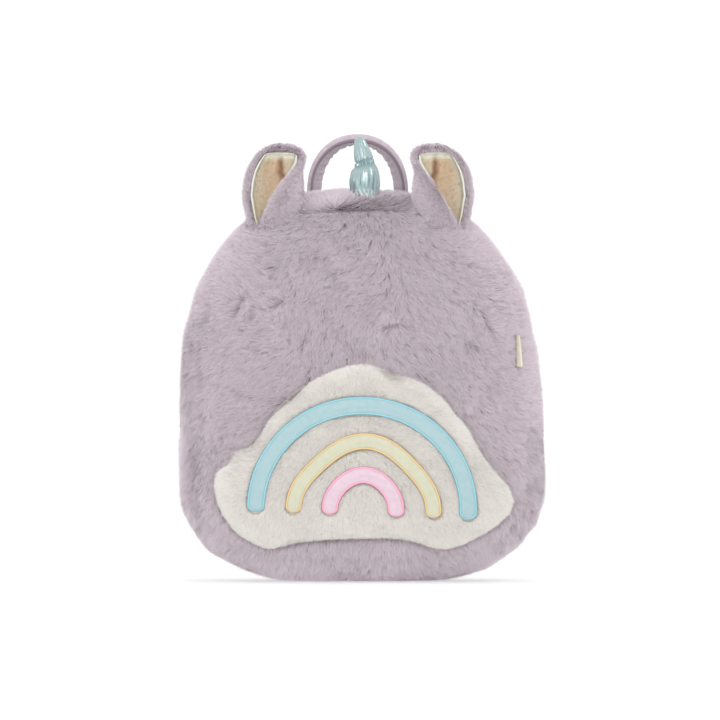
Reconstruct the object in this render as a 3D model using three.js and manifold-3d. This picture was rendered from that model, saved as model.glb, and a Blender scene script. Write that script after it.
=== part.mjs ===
// A young child's plush backpack: a furry bag with two ears, a stuffed cloth horn, a carry handle,
// a plush cloud patch with three padded arches, and padded shoulder straps behind.
// Millimetres, +Z up. The front faces -Y, and the floor is z = 0.
import * as THREE from "three";
import { mergeVertices } from "three/addons/utils/BufferGeometryUtils.js";
import Module from "manifold-3d";

// The bag over its fur. Its outline from the front is a superellipse above and one below its widest level.
const BODY_WIDTH = 256;
const BODY_HEIGHT = 273.5;
const WIDEST_HEIGHT = 75;
const UPPER_POWER = 2.78;
const LOWER_POWER = 2.6;
const BASE_PRESS = 2.5; // how much of the round underside the floor presses flat
const BODY_LEAN = 4; // sideways, over the whole height
const TOP_THINNING = 0.15; // share of the depth that the top loses
const BODY_DEPTH = 80; // between the front panel's seam and the back panel's
const FRONT_DEPTH_SHARE = 0.525; // of it, ahead of the middle
const FRONT_SEAM_DEPTH = BODY_DEPTH * FRONT_DEPTH_SHARE;
const BACK_SEAM_DEPTH = BODY_DEPTH - FRONT_SEAM_DEPTH;
const FRONT_DOME = 16;
const BACK_DOME = 4;
const DOME_POWER = 2.2;
const DOME_ROUNDING = 0.6;
const GUSSET_ROUNDING = 0.6;
const FRONT_SEAM_INSET = { side: 15, top: 12, bottom: 21 }; // in from the widest outline
const BACK_SEAM_INSET = { side: 9, top: 9, bottom: 10 };
const PANEL_CENTRE_HEIGHT = 105;

// Walls, and the space that neighbours keep
const FUR_WALL = 6; // fur pile with its backing
const BACK_WALL = 6; // padded cloth with its foam
const CLEARANCE = 0.3;
const MITRE_GAP = CLEARANCE * Math.SQRT2; // along the depth, between two walls that meet at 45 degrees
const ROOT_DEPTH = 8; // how far a sewn-on piece is drawn into the bag before it is trimmed at its skin

// Fur: low waves of locks, and the partings and dents of the front panel as shares of the bag.
// across is a share of half the width, up of the height, wide and tall of the width, deep of DENT_DEPTH.
const LOCK_HEIGHT = 1.5;
const LOCK_PITCH = 30;
const LOCK_SKEW = 1.3; // how much the rows of waves are longer than they are wide, and wander
const SEAM_POWER = 8; // how close to a seam the fur's relief dies away
const DENT_DEPTH = 4;
const FRONT_DENTS = [
  { across: 0.64, up: 0.65, wide: 0.03, tall: 0.06, turn: -35, deep: 0.9 },
  { across: 0.38, up: 0.61, wide: 0.04, tall: 0.05, turn: -20, deep: 0.6 },
  { across: 0.14, up: 0.66, wide: 0.05, tall: 0.035, turn: 20, deep: 0.6 },
  { across: -0.33, up: 0.54, wide: 0.025, tall: 0.07, turn: 5, deep: 0.8 },
  { across: 0.32, up: 0.54, wide: 0.045, tall: 0.04, turn: 40, deep: 0.7 },
  { across: -0.52, up: 0.48, wide: 0.07, tall: 0.03, turn: -15, deep: 0.8 },
  { across: -0.58, up: 0.69, wide: 0.05, tall: 0.05, turn: 30, deep: 0.6 },
  { across: -0.12, up: 0.78, wide: 0.12, tall: 0.03, turn: 0, deep: 0.4 },
  { across: 0.5, up: 0.8, wide: 0.08, tall: 0.04, turn: -20, deep: 0.5 },
  { across: -0.78, up: 0.36, wide: 0.04, tall: 0.09, turn: 0, deep: 0.7 },
  { across: 0.8, up: 0.42, wide: 0.03, tall: 0.08, turn: 0, deep: 0.5 },
];

// The gusset is cut by a U band below and by the zip's slot above. A share of the gusset's width is 0
// at the front seam and 1 at the back seam.
const BAND_JOIN_HEIGHT = 92; // where the lower band ends on both sides
const LOWER_FACETS = 26;
const UPPER_FACETS = 38;
const STRAIGHT_WEIGHT = 0.01; // how far length counts beside turning when the facets are spread
const FINE_STEPS = 60; // for each facet, when the outline is measured
const BISECTIONS = 40;
const ZIP_FRONT_SHARE = 0.56;
const ZIP_WIDTH = 8;
const ZIP_END_SHARE = ZIP_FRONT_SHARE + ZIP_WIDTH / (FRONT_SEAM_DEPTH + BACK_SEAM_DEPTH);
const ZIP_SINK = 3.5; // the tape lies this far below the fur
const ZIP_TAPE_THICK = 2;
const SLIDER_WIDTH = 6;
const SLIDER_LENGTH = 9;
const SLIDER_SHOULDER = 0.7; // share of its length where it narrows to the pull
const SLIDER_THICK = 2.6;
const PULL_WIDTH = 4;
const PULL_LENGTH = 15;
const SLIDER_HEIGHT = 101; // where the closed slider rests, on the left

// Ears. A section is an open ring from the outer rim, round the back, to the edge folded over the front.
// outer, inner and fold are shares of EAR_WIDTH from the outer side, deep is one of EAR_DEPTH, and cup
// is one of the section's depth.
const EAR_WIDTH = 44;
const EAR_HEIGHT = 58;
const EAR_DEPTH = 22;
const EAR_PILE = 5.5; // thickness of the furry rim
const EAR_FOOT_SHARE = 0.63; // of half the bag's width, out to the outer rim
const EAR_FOOT = { across: (-EAR_FOOT_SHARE * BODY_WIDTH) / 2, height: 246.5, ahead: 29.5 }; // its axis is ahead
const EAR_RIM_ANGLE = 200;
const EAR_STEPS = 11;
const EAR_SECTIONS = [
  { up: -0.16, outer: 0.17, inner: 0.93, fold: 0.3, deep: 0.7, cup: 0.4 },
  { up: 0.03, outer: 0.1, inner: 0.95, fold: 0.28, deep: 0.85, cup: 0.5 },
  { up: 0.13, outer: 0.06, inner: 0.96, fold: 0.33, deep: 0.95, cup: 0.54 },
  { up: 0.38, outer: 0.0, inner: 0.99, fold: 0.49, deep: 1.0, cup: 0.58 },
  { up: 0.54, outer: 0.02, inner: 0.985, fold: 0.65, deep: 1.0, cup: 0.58 },
  { up: 0.67, outer: 0.06, inner: 0.965, fold: 0.82, deep: 0.92, cup: 0.55 },
  { up: 0.78, outer: 0.13, inner: 1.0, fold: 0.95, deep: 0.8, cup: 0.48 },
  { up: 0.88, outer: 0.22, inner: 1.0, fold: 1.0, deep: 0.62, cup: 0.32 },
  { up: 0.95, outer: 0.34, inner: 0.94, fold: 0.94, deep: 0.46, cup: 0.1 },
  { up: 1.0, outer: 0.5, inner: 0.8, fold: 0.8, deep: 0.3, cup: 0.06 },
];
const LINING_THICK = 1.2;
const LINING_TOP = 0.88; // share of the ear's height where the cloth ends under the furry rim
const LINING_BOTTOM = 0.03;
const LINING_MARGIN = 0.03; // share of the way round that it keeps from each edge

// Horn: two stuffed lobes with a drawn-in, slanting waist. sway and tilt are shares of HORN_RADIUS.
const HORN_HEIGHT = 41.4;
const HORN_RADIUS = 10.6;
const HORN_PLACE = { across: 2.1, ahead: 15, height: 269.5 };
const HORN_SIDES = 16;
const HORN_FLUTE = 0.035; // depth of the gathers, a share of the radius
const HORN_SECTIONS = [
  { up: -0.16, radius: 0.8, sway: 0, tilt: 0 },
  { up: 0.02, radius: 0.88, sway: 0, tilt: 0 },
  { up: 0.09, radius: 0.94, sway: 0, tilt: 0 },
  { up: 0.25, radius: 1.0, sway: 0, tilt: 0 },
  { up: 0.36, radius: 0.93, sway: 0, tilt: 0.03 },
  { up: 0.45, radius: 0.8, sway: -0.01, tilt: 0.1 },
  { up: 0.52, radius: 0.63, sway: -0.03, tilt: 0.16 },
  { up: 0.58, radius: 0.57, sway: -0.05, tilt: 0.16 },
  { up: 0.64, radius: 0.61, sway: -0.08, tilt: 0.1 },
  { up: 0.75, radius: 0.54, sway: -0.15, tilt: 0.03 },
  { up: 0.87, radius: 0.41, sway: -0.26, tilt: 0 },
  { up: 0.95, radius: 0.24, sway: -0.31, tilt: 0 },
];

// Handle: an arched cloth strap whose front edge is the wider arch.
// across is a share of half the span, rise of the rise, back of the strap's width.
const HANDLE_SPAN = 71;
const HANDLE_RISE = 40.5;
const HANDLE_WIDTH = 16;
const HANDLE_FOOT_HEIGHT = 272.7;
const HANDLE_BACK = 6; // its front edge, behind the middle of the bag
const HANDLE_STEPS = 20;
const HANDLE_EDGES = [
  { across: 1.0, rise: 1.0, back: 0 },
  { across: 0.915, rise: 0.875, back: 0 },
  { across: 0.82, rise: 0.84, back: 0.5 },
  { across: 0.72, rise: 0.8, back: 1 },
  { across: 0.81, rise: 0.9, back: 1 },
  { across: 0.92, rise: 0.955, back: 0.5 },
];

// Cloud patch. across is a share of PATCH_WIDTH and up of PATCH_HEIGHT, from the patch's middle.
const PATCH_WIDTH = 207;
const PATCH_HEIGHT = 127;
const PATCH_CENTRE = { across: 1.75, height: 87.5 };
const PATCH_PAD = 7; // stands this far off the front at the rounded edge
const PATCH_CROWN = 3.5; // and this much more in its middle
const PATCH_EDGE_ROUND = 8;
const PATCH_CROWN_REACH = 55;
const PATCH_RINGS = [0.35, 0.66, 0.86, 0.96, 1];
const PATCH_AROUND = 52;
const PATCH_ROOT_RINGS = [0, 0.6, 1];
const CLOUD_EDGE_POINTS = 312;
const CLOUD_OUTLINE = [
  { across: 0.01, up: 0.503 },
  { across: 0.115, up: 0.456 },
  { across: 0.204, up: 0.389 },
  { across: 0.287, up: 0.265 },
  { across: 0.349, up: 0.141 },
  { across: 0.39, up: 0.017 },
  { across: 0.439, up: -0.085 },
  { across: 0.486, up: -0.164 },
  { across: 0.501, up: -0.22 },
  { across: 0.486, up: -0.3 },
  { across: 0.39, up: -0.423 },
  { across: 0.252, up: -0.502 },
  { across: 0.163, up: -0.457 },
  { across: 0.08, up: -0.44 },
  { across: -0.092, up: -0.445 },
  { across: -0.237, up: -0.473 },
  { across: -0.313, up: -0.496 },
  { across: -0.423, up: -0.412 },
  { across: -0.472, up: -0.309 },
  { across: -0.499, up: -0.175 },
  { across: -0.492, up: -0.085 },
  { across: -0.451, up: -0.035 },
  { across: -0.437, up: 0.028 },
  { across: -0.396, up: 0.051 },
  { across: -0.348, up: 0.118 },
  { across: -0.306, up: 0.243 },
  { across: -0.251, up: 0.333 },
  { across: -0.182, up: 0.412 },
  { across: -0.092, up: 0.473 },
];

// Arches on the patch, through the middle of each band, over one tilted base line: half-ellipses whose
// shoulders are drawn in by a share. shift, halfSpan and band are shares of PATCH_WIDTH, rise of PATCH_HEIGHT.
const ARCH_BASE = { across: 0.2, height: 51.8 };
const ARCH_TILT = 2.2; // degrees, clockwise from the front
const ARCH_RISE = 1.6; // proud of the patch along the middle of the band
const ARCH_EDGE_RISE = 0.9;
const ARCH_STEPS = 20;
const ARCH_END_STEPS = 3;
const ARCH_PROBE = 0.001; // turn on each side of a point, between which its direction is taken
const ARCH_END_TURN = 80; // degrees, where a round end is cut off flat
const ARCHES = [
  { name: "arch_blue", shift: 0, halfSpan: 0.354, rise: 0.563, band: 0.061, drawnIn: 0, colour: 0xb7d4d7 },
  { name: "arch_yellow", shift: 0.005, halfSpan: 0.233, rise: 0.37, band: 0.054, drawnIn: 0.08, colour: 0xe2dfc0 },
  { name: "arch_pink", shift: 0.003, halfSpan: 0.11, rise: 0.187, band: 0.054, drawnIn: 0.028, colour: 0xe6cbdb },
];

// Side label: a bare folded tag that stands out of the right front seam
const LABEL_HEIGHT = 22;
const LABEL_REACH = 9;
const LABEL_THICK = 1.3;
const LABEL_CENTRE_HEIGHT = 161;
const LABEL_TURN = 27; // degrees, from straight ahead to the right

// Shoulder straps. up is a share of BODY_HEIGHT, across of half the width, off of STRAP_STAND_OFF.
const STRAP_WIDTH = 32;
const STRAP_THICK = 7;
const STRAP_STAND_OFF = 20;
const WEBBING_WIDTH = 20;
const WEBBING_THICK = 2;
const ADJUSTER_WIDTH = 27;
const ADJUSTER_LENGTH = 14;
const ADJUSTER_THICK = 5;
const STRAP_SIDES = 8;
const STRAP_SQUARENESS = { across: 0.4, over: 0.7 }; // powers of the section, 1 for an ellipse
const STRAP_STEPS = 16;
const WEBBING_STEPS = 9;
const STRAP_ROUTE = [
  { up: 0.86, across: 0.2, off: -0.35 },
  { up: 0.885, across: 0.2, off: 0.3 },
  { up: 0.86, across: 0.21, off: 0.85 },
  { up: 0.74, across: 0.25, off: 1.1 },
  { up: 0.58, across: 0.32, off: 1.0 },
  { up: 0.43, across: 0.41, off: 0.75 },
  { up: 0.33, across: 0.48, off: 0.55 },
  { up: 0.22, across: 0.56, off: 0.3 },
  { up: 0.11, across: 0.64, off: -0.15 },
];
const PAD_END_SHARE = 0.67; // share of the route where the pad ends and the adjuster begins

const wasm = await Module();
wasm.setup();

const lerp = THREE.MathUtils.lerp;
const radians = THREE.MathUtils.degToRad;

// The bag's shape

function leanAt(height) {
  return (BODY_LEAN * (WIDEST_HEIGHT - height)) / BODY_HEIGHT;
}

function depthShare(height) {
  return 1 - (TOP_THINNING * height) / BODY_HEIGHT;
}

// A point of the bag from its upright form, with its lean and its thinning top
function bodyPoint(x, y, z) {
  return new THREE.Vector3(x + leanAt(z), y * depthShare(z), z);
}

// The outline at an angle from +X, moved inwards
function outline(angle, inset) {
  const above = Math.sin(angle) >= 0;
  const power = above ? UPPER_POWER : LOWER_POWER;
  const halfWidth = BODY_WIDTH / 2;
  const reach = above ? BODY_HEIGHT - WIDEST_HEIGHT : WIDEST_HEIGHT + BASE_PRESS;
  const u = Math.cos(angle);
  const v = Math.sin(angle);
  const radius = (Math.abs(u) ** power + Math.abs(v) ** power) ** (-1 / power);
  const normalX = (Math.sign(u) * Math.abs(radius * u) ** (power - 1)) / halfWidth;
  const normalZ = (Math.sign(v) * Math.abs(radius * v) ** (power - 1)) / reach;
  const length = Math.hypot(normalX, normalZ);
  return {
    x: halfWidth * radius * u - (inset * normalX) / length,
    z: WIDEST_HEIGHT + reach * radius * v - (inset * normalZ) / length,
  };
}

// Where a rising function crosses zero
function crossing(from, to, rising) {
  let low = from;
  let high = to;
  for (let i = 0; i < BISECTIONS; i++) {
    const middle = (low + high) / 2;
    if (rising(middle) < 0) low = middle;
    else high = middle;
  }
  return low;
}

// The angle on the right side where the outline reaches a height
function angleAtHeight(height) {
  return crossing(-Math.PI / 2, Math.PI / 2, (angle) => outline(angle, 0).z - height);
}

// Angles between two others, close where the outline turns and wide where it is nearly straight
function facetAngles(from, to, count) {
  const fine = steps(from, to, FINE_STEPS * count);
  const reach = [0];
  for (let i = 1; i < fine.length; i++) {
    const [a, b, c] = [fine[i - 1], (fine[i - 1] + fine[i]) / 2, fine[i]].map((angle) => outline(angle, 0));
    const first = new THREE.Vector2(b.x - a.x, b.z - a.z);
    const second = new THREE.Vector2(c.x - b.x, c.z - b.z);
    const length = first.length() + second.length();
    const turn = Math.abs(first.cross(second)) / (first.length() * second.length());
    reach.push(reach[i - 1] + Math.sqrt(length * turn) + length * STRAIGHT_WEIGHT);
  }
  const total = reach[reach.length - 1];
  const inner = steps(0, total, count).slice(1, -1).map((wanted) => {
    const after = reach.findIndex((value) => value >= wanted);
    const share = (wanted - reach[after - 1]) / (reach[after] - reach[after - 1]);
    return lerp(fine[after - 1], fine[after], share);
  });
  return [from, ...inner, to];
}

function seamInset(angle, seam) {
  const up = Math.sin(angle);
  return lerp(seam.side, up > 0 ? seam.top : seam.bottom, up * up);
}

function gussetInset(angle, share) {
  const seams = lerp(seamInset(angle, FRONT_SEAM_INSET), seamInset(angle, BACK_SEAM_INSET), share);
  return seams * (1 - (4 * share * (1 - share)) ** GUSSET_ROUNDING);
}

// Low waves that stand for the locks of the fur, flat at the seams
function locks(along, across) {
  const wave = Math.sin((2 * Math.PI * along) / LOCK_PITCH + LOCK_SKEW * Math.sin(across / LOCK_PITCH));
  return LOCK_HEIGHT * wave * Math.sin((2 * Math.PI * across) / (LOCK_SKEW * LOCK_PITCH));
}

// How far a wall's inside is moved towards the middle of the depth, for each millimetre of its thickness:
// fully at the two seams, for their mitres, and not at all beside the zip
function mitre(share) {
  const before = Math.max(1 - share / ZIP_FRONT_SHARE, 0);
  const after = Math.max((share - ZIP_END_SHARE) / (1 - ZIP_END_SHARE), 0);
  return before - after;
}

function gussetPoint(angle, share, below, drawnIn = 0) {
  const crown = 4 * share * (1 - share);
  const place = outline(angle, 0);
  const offFloor = Math.min(Math.max(place.z / LOCK_PITCH, 0), 1);
  const fur = below > 0 ? 0 : offFloor * crown * locks(place.z + place.x, share * 2 * LOCK_PITCH);
  const point = outline(angle, gussetInset(angle, share) + below - fur);
  const y = lerp(-FRONT_SEAM_DEPTH, BACK_SEAM_DEPTH, share) + below * mitre(share);
  return bodyPoint(point.x, y + drawnIn, Math.max(point.z, below));
}

function dents(x, z) {
  let depth = 0;
  for (const dent of FRONT_DENTS) {
    const turn = radians(dent.turn);
    const right = x - (dent.across * BODY_WIDTH) / 2;
    const up = z - dent.up * BODY_HEIGHT;
    const along = (right * Math.cos(turn) + up * Math.sin(turn)) / (dent.wide * BODY_WIDTH);
    const over = (up * Math.cos(turn) - right * Math.sin(turn)) / (dent.tall * BODY_WIDTH);
    depth += dent.deep * DENT_DEPTH * Math.exp(-(along * along + over * over) / 2);
  }
  return depth;
}

function dome(height, share) {
  return height * (1 - Math.min(share, 1) ** DOME_POWER) ** DOME_ROUNDING;
}

// The front fur's relief, for an upright point whose share of the way to the seam is known
function frontRelief(x, z, share) {
  return (1 - share ** SEAM_POWER) * (locks(x, z) - dents(x, z));
}

function frontPoint(angle, share, below) {
  const seam = outline(angle, seamInset(angle, FRONT_SEAM_INSET) + below);
  const x = seam.x * share;
  const z = lerp(PANEL_CENTRE_HEIGHT, seam.z, share);
  const relief = below > 0 ? 0 : frontRelief(x, z, share);
  return bodyPoint(x, -(FRONT_SEAM_DEPTH + dome(FRONT_DOME, share) - below + relief), z);
}

function backPoint(angle, share, below) {
  const seam = outline(angle, seamInset(angle, BACK_SEAM_INSET) + below);
  const z = lerp(PANEL_CENTRE_HEIGHT, seam.z, share);
  return bodyPoint(seam.x * share, BACK_SEAM_DEPTH + dome(BACK_DOME, share) - below, z);
}

function frontSeam(angle) {
  return outline(angle, seamInset(angle, FRONT_SEAM_INSET));
}

// The smooth front's y, without the fur's relief, at a place seen from the front
function frontSkin(placeX, z) {
  const x = placeX - leanAt(z);
  const wanted = Math.atan2(z - PANEL_CENTRE_HEIGHT, x);
  const turned = (angle) => {
    const seam = frontSeam(angle);
    return Math.sin(Math.atan2(seam.z - PANEL_CENTRE_HEIGHT, seam.x) - wanted);
  };
  const seam = frontSeam(crossing(wanted - 1, wanted + 1, turned));
  const reach = Math.hypot(seam.x, seam.z - PANEL_CENTRE_HEIGHT);
  const share = Math.hypot(x, z - PANEL_CENTRE_HEIGHT) / reach;
  return -(FRONT_SEAM_DEPTH + dome(FRONT_DOME, share)) * depthShare(z);
}

// Closed surfaces

function solidGeometry(points, faces) {
  const positions = new Float32Array(points.flatMap((p) => [p.x, p.y, p.z]));
  const geometry = new THREE.BufferGeometry();
  geometry.setAttribute("position", new THREE.BufferAttribute(positions, 3));
  let volume = 0;
  for (const [a, b, c] of faces) volume += points[a].dot(points[b].clone().cross(points[c]));
  geometry.setIndex((volume > 0 ? faces : faces.map(([a, b, c]) => [a, c, b])).flat());
  return geometry;
}

function quad(faces, a, b, c, d) {
  faces.push([a, b, c], [a, c, d]);
}

// Two grids of points, outside and inside, closed by walls along their open edges. A ring's columns
// close on themselves, and a grid with a pole starts at one point.
function thickSheet(outside, inside, { ring = false, pole = false } = {}) {
  const points = [];
  const faces = [];
  const columns = outside[outside.length - 1].length;
  const spans = ring ? columns : columns - 1;
  const numbered = [outside, inside].map((grid) =>
    grid.map((row, level) => {
      const first = points.length;
      const single = pole && level === 0;
      points.push(...(single ? row.slice(0, 1) : row));
      return Array.from({ length: columns }, (_, column) => (single ? first : first + column));
    }),
  );
  numbered.forEach((grid, side) => {
    for (let level = 0; level + 1 < grid.length; level++) {
      for (let column = 0; column < spans; column++) {
        const next = (column + 1) % columns;
        const [near, far] = [grid[level], grid[level + 1]];
        const corners = [near[column], near[next], far[next], far[column]];
        if (side) corners.reverse();
        if (corners[0] === corners[1]) faces.push([corners[0], corners[2], corners[3]]);
        else if (corners[2] === corners[3]) faces.push([corners[0], corners[1], corners[2]]);
        else quad(faces, ...corners);
      }
    }
  });
  const [outer, inner] = numbered;
  for (let column = 0; column < spans; column++) {
    const next = (column + 1) % columns;
    const outerEnd = outer[outer.length - 1];
    const innerEnd = inner[inner.length - 1];
    quad(faces, outerEnd[column], outerEnd[next], innerEnd[next], innerEnd[column]);
    if (!pole) quad(faces, inner[0][column], inner[0][next], outer[0][next], outer[0][column]);
  }
  for (let level = 0; !ring && level + 1 < outer.length; level++) {
    const last = columns - 1;
    quad(faces, outer[level][0], outer[level + 1][0], inner[level + 1][0], inner[level][0]);
    quad(faces, inner[level][last], inner[level + 1][last], outer[level + 1][last], outer[level][last]);
  }
  return solidGeometry(points, faces);
}

function centreOf(loop) {
  const middle = new THREE.Vector3();
  loop.forEach((p) => middle.addScaledVector(p, 1 / loop.length));
  return middle;
}

// Loops of points joined in order, with a fan over each end to its tip
function loft(loops, firstTip = centreOf(loops[0]), lastTip = centreOf(loops[loops.length - 1])) {
  const points = loops.flat();
  const count = loops[0].length;
  const faces = [];
  for (let level = 0; level + 1 < loops.length; level++) {
    for (let i = 0; i < count; i++) {
      const a = level * count + i;
      const b = level * count + ((i + 1) % count);
      quad(faces, a, b, b + count, a + count);
    }
  }
  const last = (loops.length - 1) * count;
  points.push(firstTip, lastTip);
  for (let i = 0; i < count; i++) {
    const next = (i + 1) % count;
    faces.push([next, i, points.length - 2], [last + i, last + next, points.length - 1]);
  }
  return solidGeometry(points, faces);
}

function gridOf(rows, columns, pointAt) {
  return rows.map((row) => columns.map((column) => pointAt(row, column)));
}

function steps(from, to, count) {
  return Array.from({ length: count + 1 }, (_, i) => lerp(from, to, i / count));
}

// Every point moved out along its normal
function inflate(geometry, distance) {
  const grown = geometry.clone();
  grown.computeVertexNormals();
  const position = grown.getAttribute("position");
  const normal = grown.getAttribute("normal");
  for (let i = 0; i < position.count; i++) {
    const point = new THREE.Vector3().fromBufferAttribute(position, i);
    point.addScaledVector(new THREE.Vector3().fromBufferAttribute(normal, i), distance);
    position.setXYZ(i, point.x, point.y, point.z);
  }
  return grown;
}

function toSolid(geometry) {
  const bare = new THREE.BufferGeometry();
  bare.setAttribute("position", geometry.getAttribute("position"));
  bare.setIndex(geometry.getIndex());
  const merged = mergeVertices(bare);
  return new wasm.Manifold(
    new wasm.Mesh({
      numProp: 3,
      vertProperties: new Float32Array(merged.getAttribute("position").array),
      triVerts: new Uint32Array(merged.getIndex().array),
    }),
  );
}

function fromSolid(solid) {
  const mesh = solid.getMesh();
  const geometry = new THREE.BufferGeometry();
  geometry.setAttribute("position", new THREE.BufferAttribute(new Float32Array(mesh.vertProperties), 3));
  geometry.setIndex(new THREE.BufferAttribute(new Uint32Array(mesh.triVerts), 1));
  return geometry;
}

// The piece trimmed by others, each with the named clearance round it
function trimmed(geometry, ...others) {
  let solid = toSolid(geometry);
  for (const other of others) solid = solid.subtract(toSolid(inflate(other, CLEARANCE)));
  return fromSolid(solid);
}

// The pieces of the bag

const joinAngle = angleAtHeight(BAND_JOIN_HEIGHT);
const upperFacets = facetAngles(joinAngle, Math.PI - joinAngle, UPPER_FACETS);
const lowerFacets = facetAngles(Math.PI - joinAngle, 2 * Math.PI + joinAngle, LOWER_FACETS);
const fullTurn = [...upperFacets.slice(0, -1), ...lowerFacets.slice(0, -1)];
const upperAngles = drawnInEnds(upperFacets);
const lowerAngles = drawnInEnds(lowerFacets);
const FRONT_RINGS = [0, 0.18, 0.34, 0.5, 0.64, 0.77, 0.88, 0.95, 1];
const INNER_RINGS = [0, 0.5, 0.88, 1];
const BACK_RINGS = [0, 0.55, 0.9, 1];

function frontPanel() {
  const outside = gridOf(FRONT_RINGS, fullTurn, (share, angle) => frontPoint(angle, share, 0));
  const inside = gridOf(INNER_RINGS, fullTurn, (share, angle) => frontPoint(angle, share, FUR_WALL));
  return thickSheet(outside, inside, { ring: true, pole: true });
}

function backPanel() {
  const outside = gridOf(BACK_RINGS, fullTurn, (share, angle) => backPoint(angle, share, 0));
  const inside = gridOf(BACK_RINGS, fullTurn, (share, angle) => backPoint(angle, share, BACK_WALL));
  return thickSheet(outside, inside, { ring: true, pole: true });
}

// A band of the gusset. Its edges at the two seams are mitred, and drawn in from the panels.
function gussetBand(angles, shares) {
  const drawnIn = (share) => (share === 0 ? MITRE_GAP : share === 1 ? -MITRE_GAP : 0);
  const outside = gridOf(shares, angles, (share, angle) => gussetPoint(angle, share, 0, drawnIn(share)));
  const inside = gridOf(shares, angles, (share, angle) =>
    gussetPoint(angle, share, lerp(FUR_WALL, BACK_WALL, share), drawnIn(share)),
  );
  return thickSheet(outside, inside);
}

// A band's angles with each end drawn in by half the clearance
function drawnInEnds(angles) {
  const pull = CLEARANCE / BODY_WIDTH;
  return [angles[0] + pull, ...angles.slice(1, -1), angles[angles.length - 1] - pull];
}

const zipShare = (ZIP_FRONT_SHARE + ZIP_END_SHARE) / 2;
const sharesBeforeZip = [0, 0.22, 0.53, 1].map((share) => share * ZIP_FRONT_SHARE);
const sharesAfterZip = [0, 0.45, 1].map((share) => lerp(ZIP_END_SHARE, 1, share));
const gussetShares = [...sharesBeforeZip, ...sharesAfterZip];

function zipTape() {
  const gap = (2 * CLEARANCE) / (FRONT_SEAM_DEPTH + BACK_SEAM_DEPTH);
  const shares = [ZIP_FRONT_SHARE + gap, ZIP_END_SHARE - gap];
  const at = (below) => (share, angle) => {
    const point = outline(angle, gussetInset(angle, share) + below);
    return bodyPoint(point.x, lerp(-FRONT_SEAM_DEPTH, BACK_SEAM_DEPTH, share), point.z);
  };
  const outside = gridOf(shares, upperAngles, at(ZIP_SINK));
  return thickSheet(outside, gridOf(shares, upperAngles, at(ZIP_SINK + ZIP_TAPE_THICK)));
}

function zipSlider() {
  const half = SLIDER_WIDTH / 2;
  const pull = PULL_WIDTH / 2;
  const shape = new THREE.Shape();
  shape.moveTo(-half, 0);
  shape.lineTo(half, 0);
  shape.lineTo(half, SLIDER_LENGTH * SLIDER_SHOULDER);
  shape.lineTo(pull, SLIDER_LENGTH);
  shape.lineTo(pull, SLIDER_LENGTH + PULL_LENGTH);
  shape.lineTo(-pull, SLIDER_LENGTH + PULL_LENGTH);
  shape.lineTo(-pull, SLIDER_LENGTH);
  shape.lineTo(-half, SLIDER_LENGTH * SLIDER_SHOULDER);
  const geometry = new THREE.ExtrudeGeometry(shape, { depth: SLIDER_THICK, bevelEnabled: false });
  const angle = Math.PI - angleAtHeight(SLIDER_HEIGHT);
  const at = (turn, below) => {
    const point = outline(angle + turn, gussetInset(angle, zipShare) + below);
    return bodyPoint(point.x, lerp(-FRONT_SEAM_DEPTH, BACK_SEAM_DEPTH, zipShare), point.z);
  };
  const place = at(0, ZIP_SINK - CLEARANCE);
  const along = at(-SLIDER_LENGTH / BODY_WIDTH, ZIP_SINK).sub(at(0, ZIP_SINK)).normalize();
  const out = at(0, 0).sub(at(0, ZIP_SINK)).normalize();
  const side = new THREE.Vector3().crossVectors(along, out);
  geometry.applyMatrix4(new THREE.Matrix4().makeBasis(side, along, out).setPosition(place));
  return trimmed(geometry, zipTape());
}

// The closed skin that sewn-on pieces are trimmed against
function bodySkin() {
  const loops = [
    ...FRONT_RINGS.slice(1).map((share) => fullTurn.map((angle) => frontPoint(angle, share, 0))),
    ...gussetShares.slice(1, -1).map((share) => fullTurn.map((angle) => gussetPoint(angle, share, 0))),
    ...BACK_RINGS.slice(1).reverse().map((share) => fullTurn.map((angle) => backPoint(angle, share, 0))),
  ];
  return loft(loops, frontPoint(0, 0, 0), backPoint(0, 0, 0));
}

// Ears

function earSection(row) {
  const left = EAR_WIDTH * row.outer;
  const right = EAR_WIDTH * row.inner;
  const middle = (left + right) / 2;
  const halfWidth = (right - left) / 2;
  const halfDepth = (EAR_DEPTH * row.deep) / 2;
  const foldCosine = Math.min((EAR_WIDTH * row.fold - middle) / halfWidth, 1);
  return { ...row, middle, halfWidth, halfDepth, foldAngle: -Math.acos(foldCosine) };
}

// A point of an ear's ring: at a share of the way round, and below the furry face
function earPoint(section, share, below, cup) {
  const angle = lerp(radians(EAR_RIM_ANGLE), section.foldAngle, share);
  const x = section.middle + (section.halfWidth - below) * Math.cos(angle);
  const y = section.halfDepth * cup * Math.sin(angle);
  const z = EAR_FOOT.height + EAR_HEIGHT * section.up;
  return new THREE.Vector3(EAR_FOOT.across + x, y - EAR_FOOT.ahead, z);
}

function blendSections(up) {
  const after = EAR_SECTIONS.findIndex((row) => row.up >= up);
  const [a, b] = [EAR_SECTIONS[after - 1], EAR_SECTIONS[after]];
  const share = (up - a.up) / (b.up - a.up);
  return Object.fromEntries(Object.keys(a).map((key) => [key, lerp(a[key], b[key], share)]));
}

function mirrored(point, side) {
  const lean = leanAt(EAR_FOOT.height);
  return new THREE.Vector3(lean - side * point.x, point.y, point.z);
}

function ear(side) {
  const rows = EAR_SECTIONS.map(earSection);
  const shares = steps(0, 1, EAR_STEPS);
  const outside = gridOf(rows, shares, (row, share) => mirrored(earPoint(row, share, 0, 1), side));
  const lined = (row, share) => mirrored(earPoint(row, share, EAR_PILE, row.cup), side);
  return thickSheet(outside, gridOf(rows, shares, lined));
}

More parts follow.
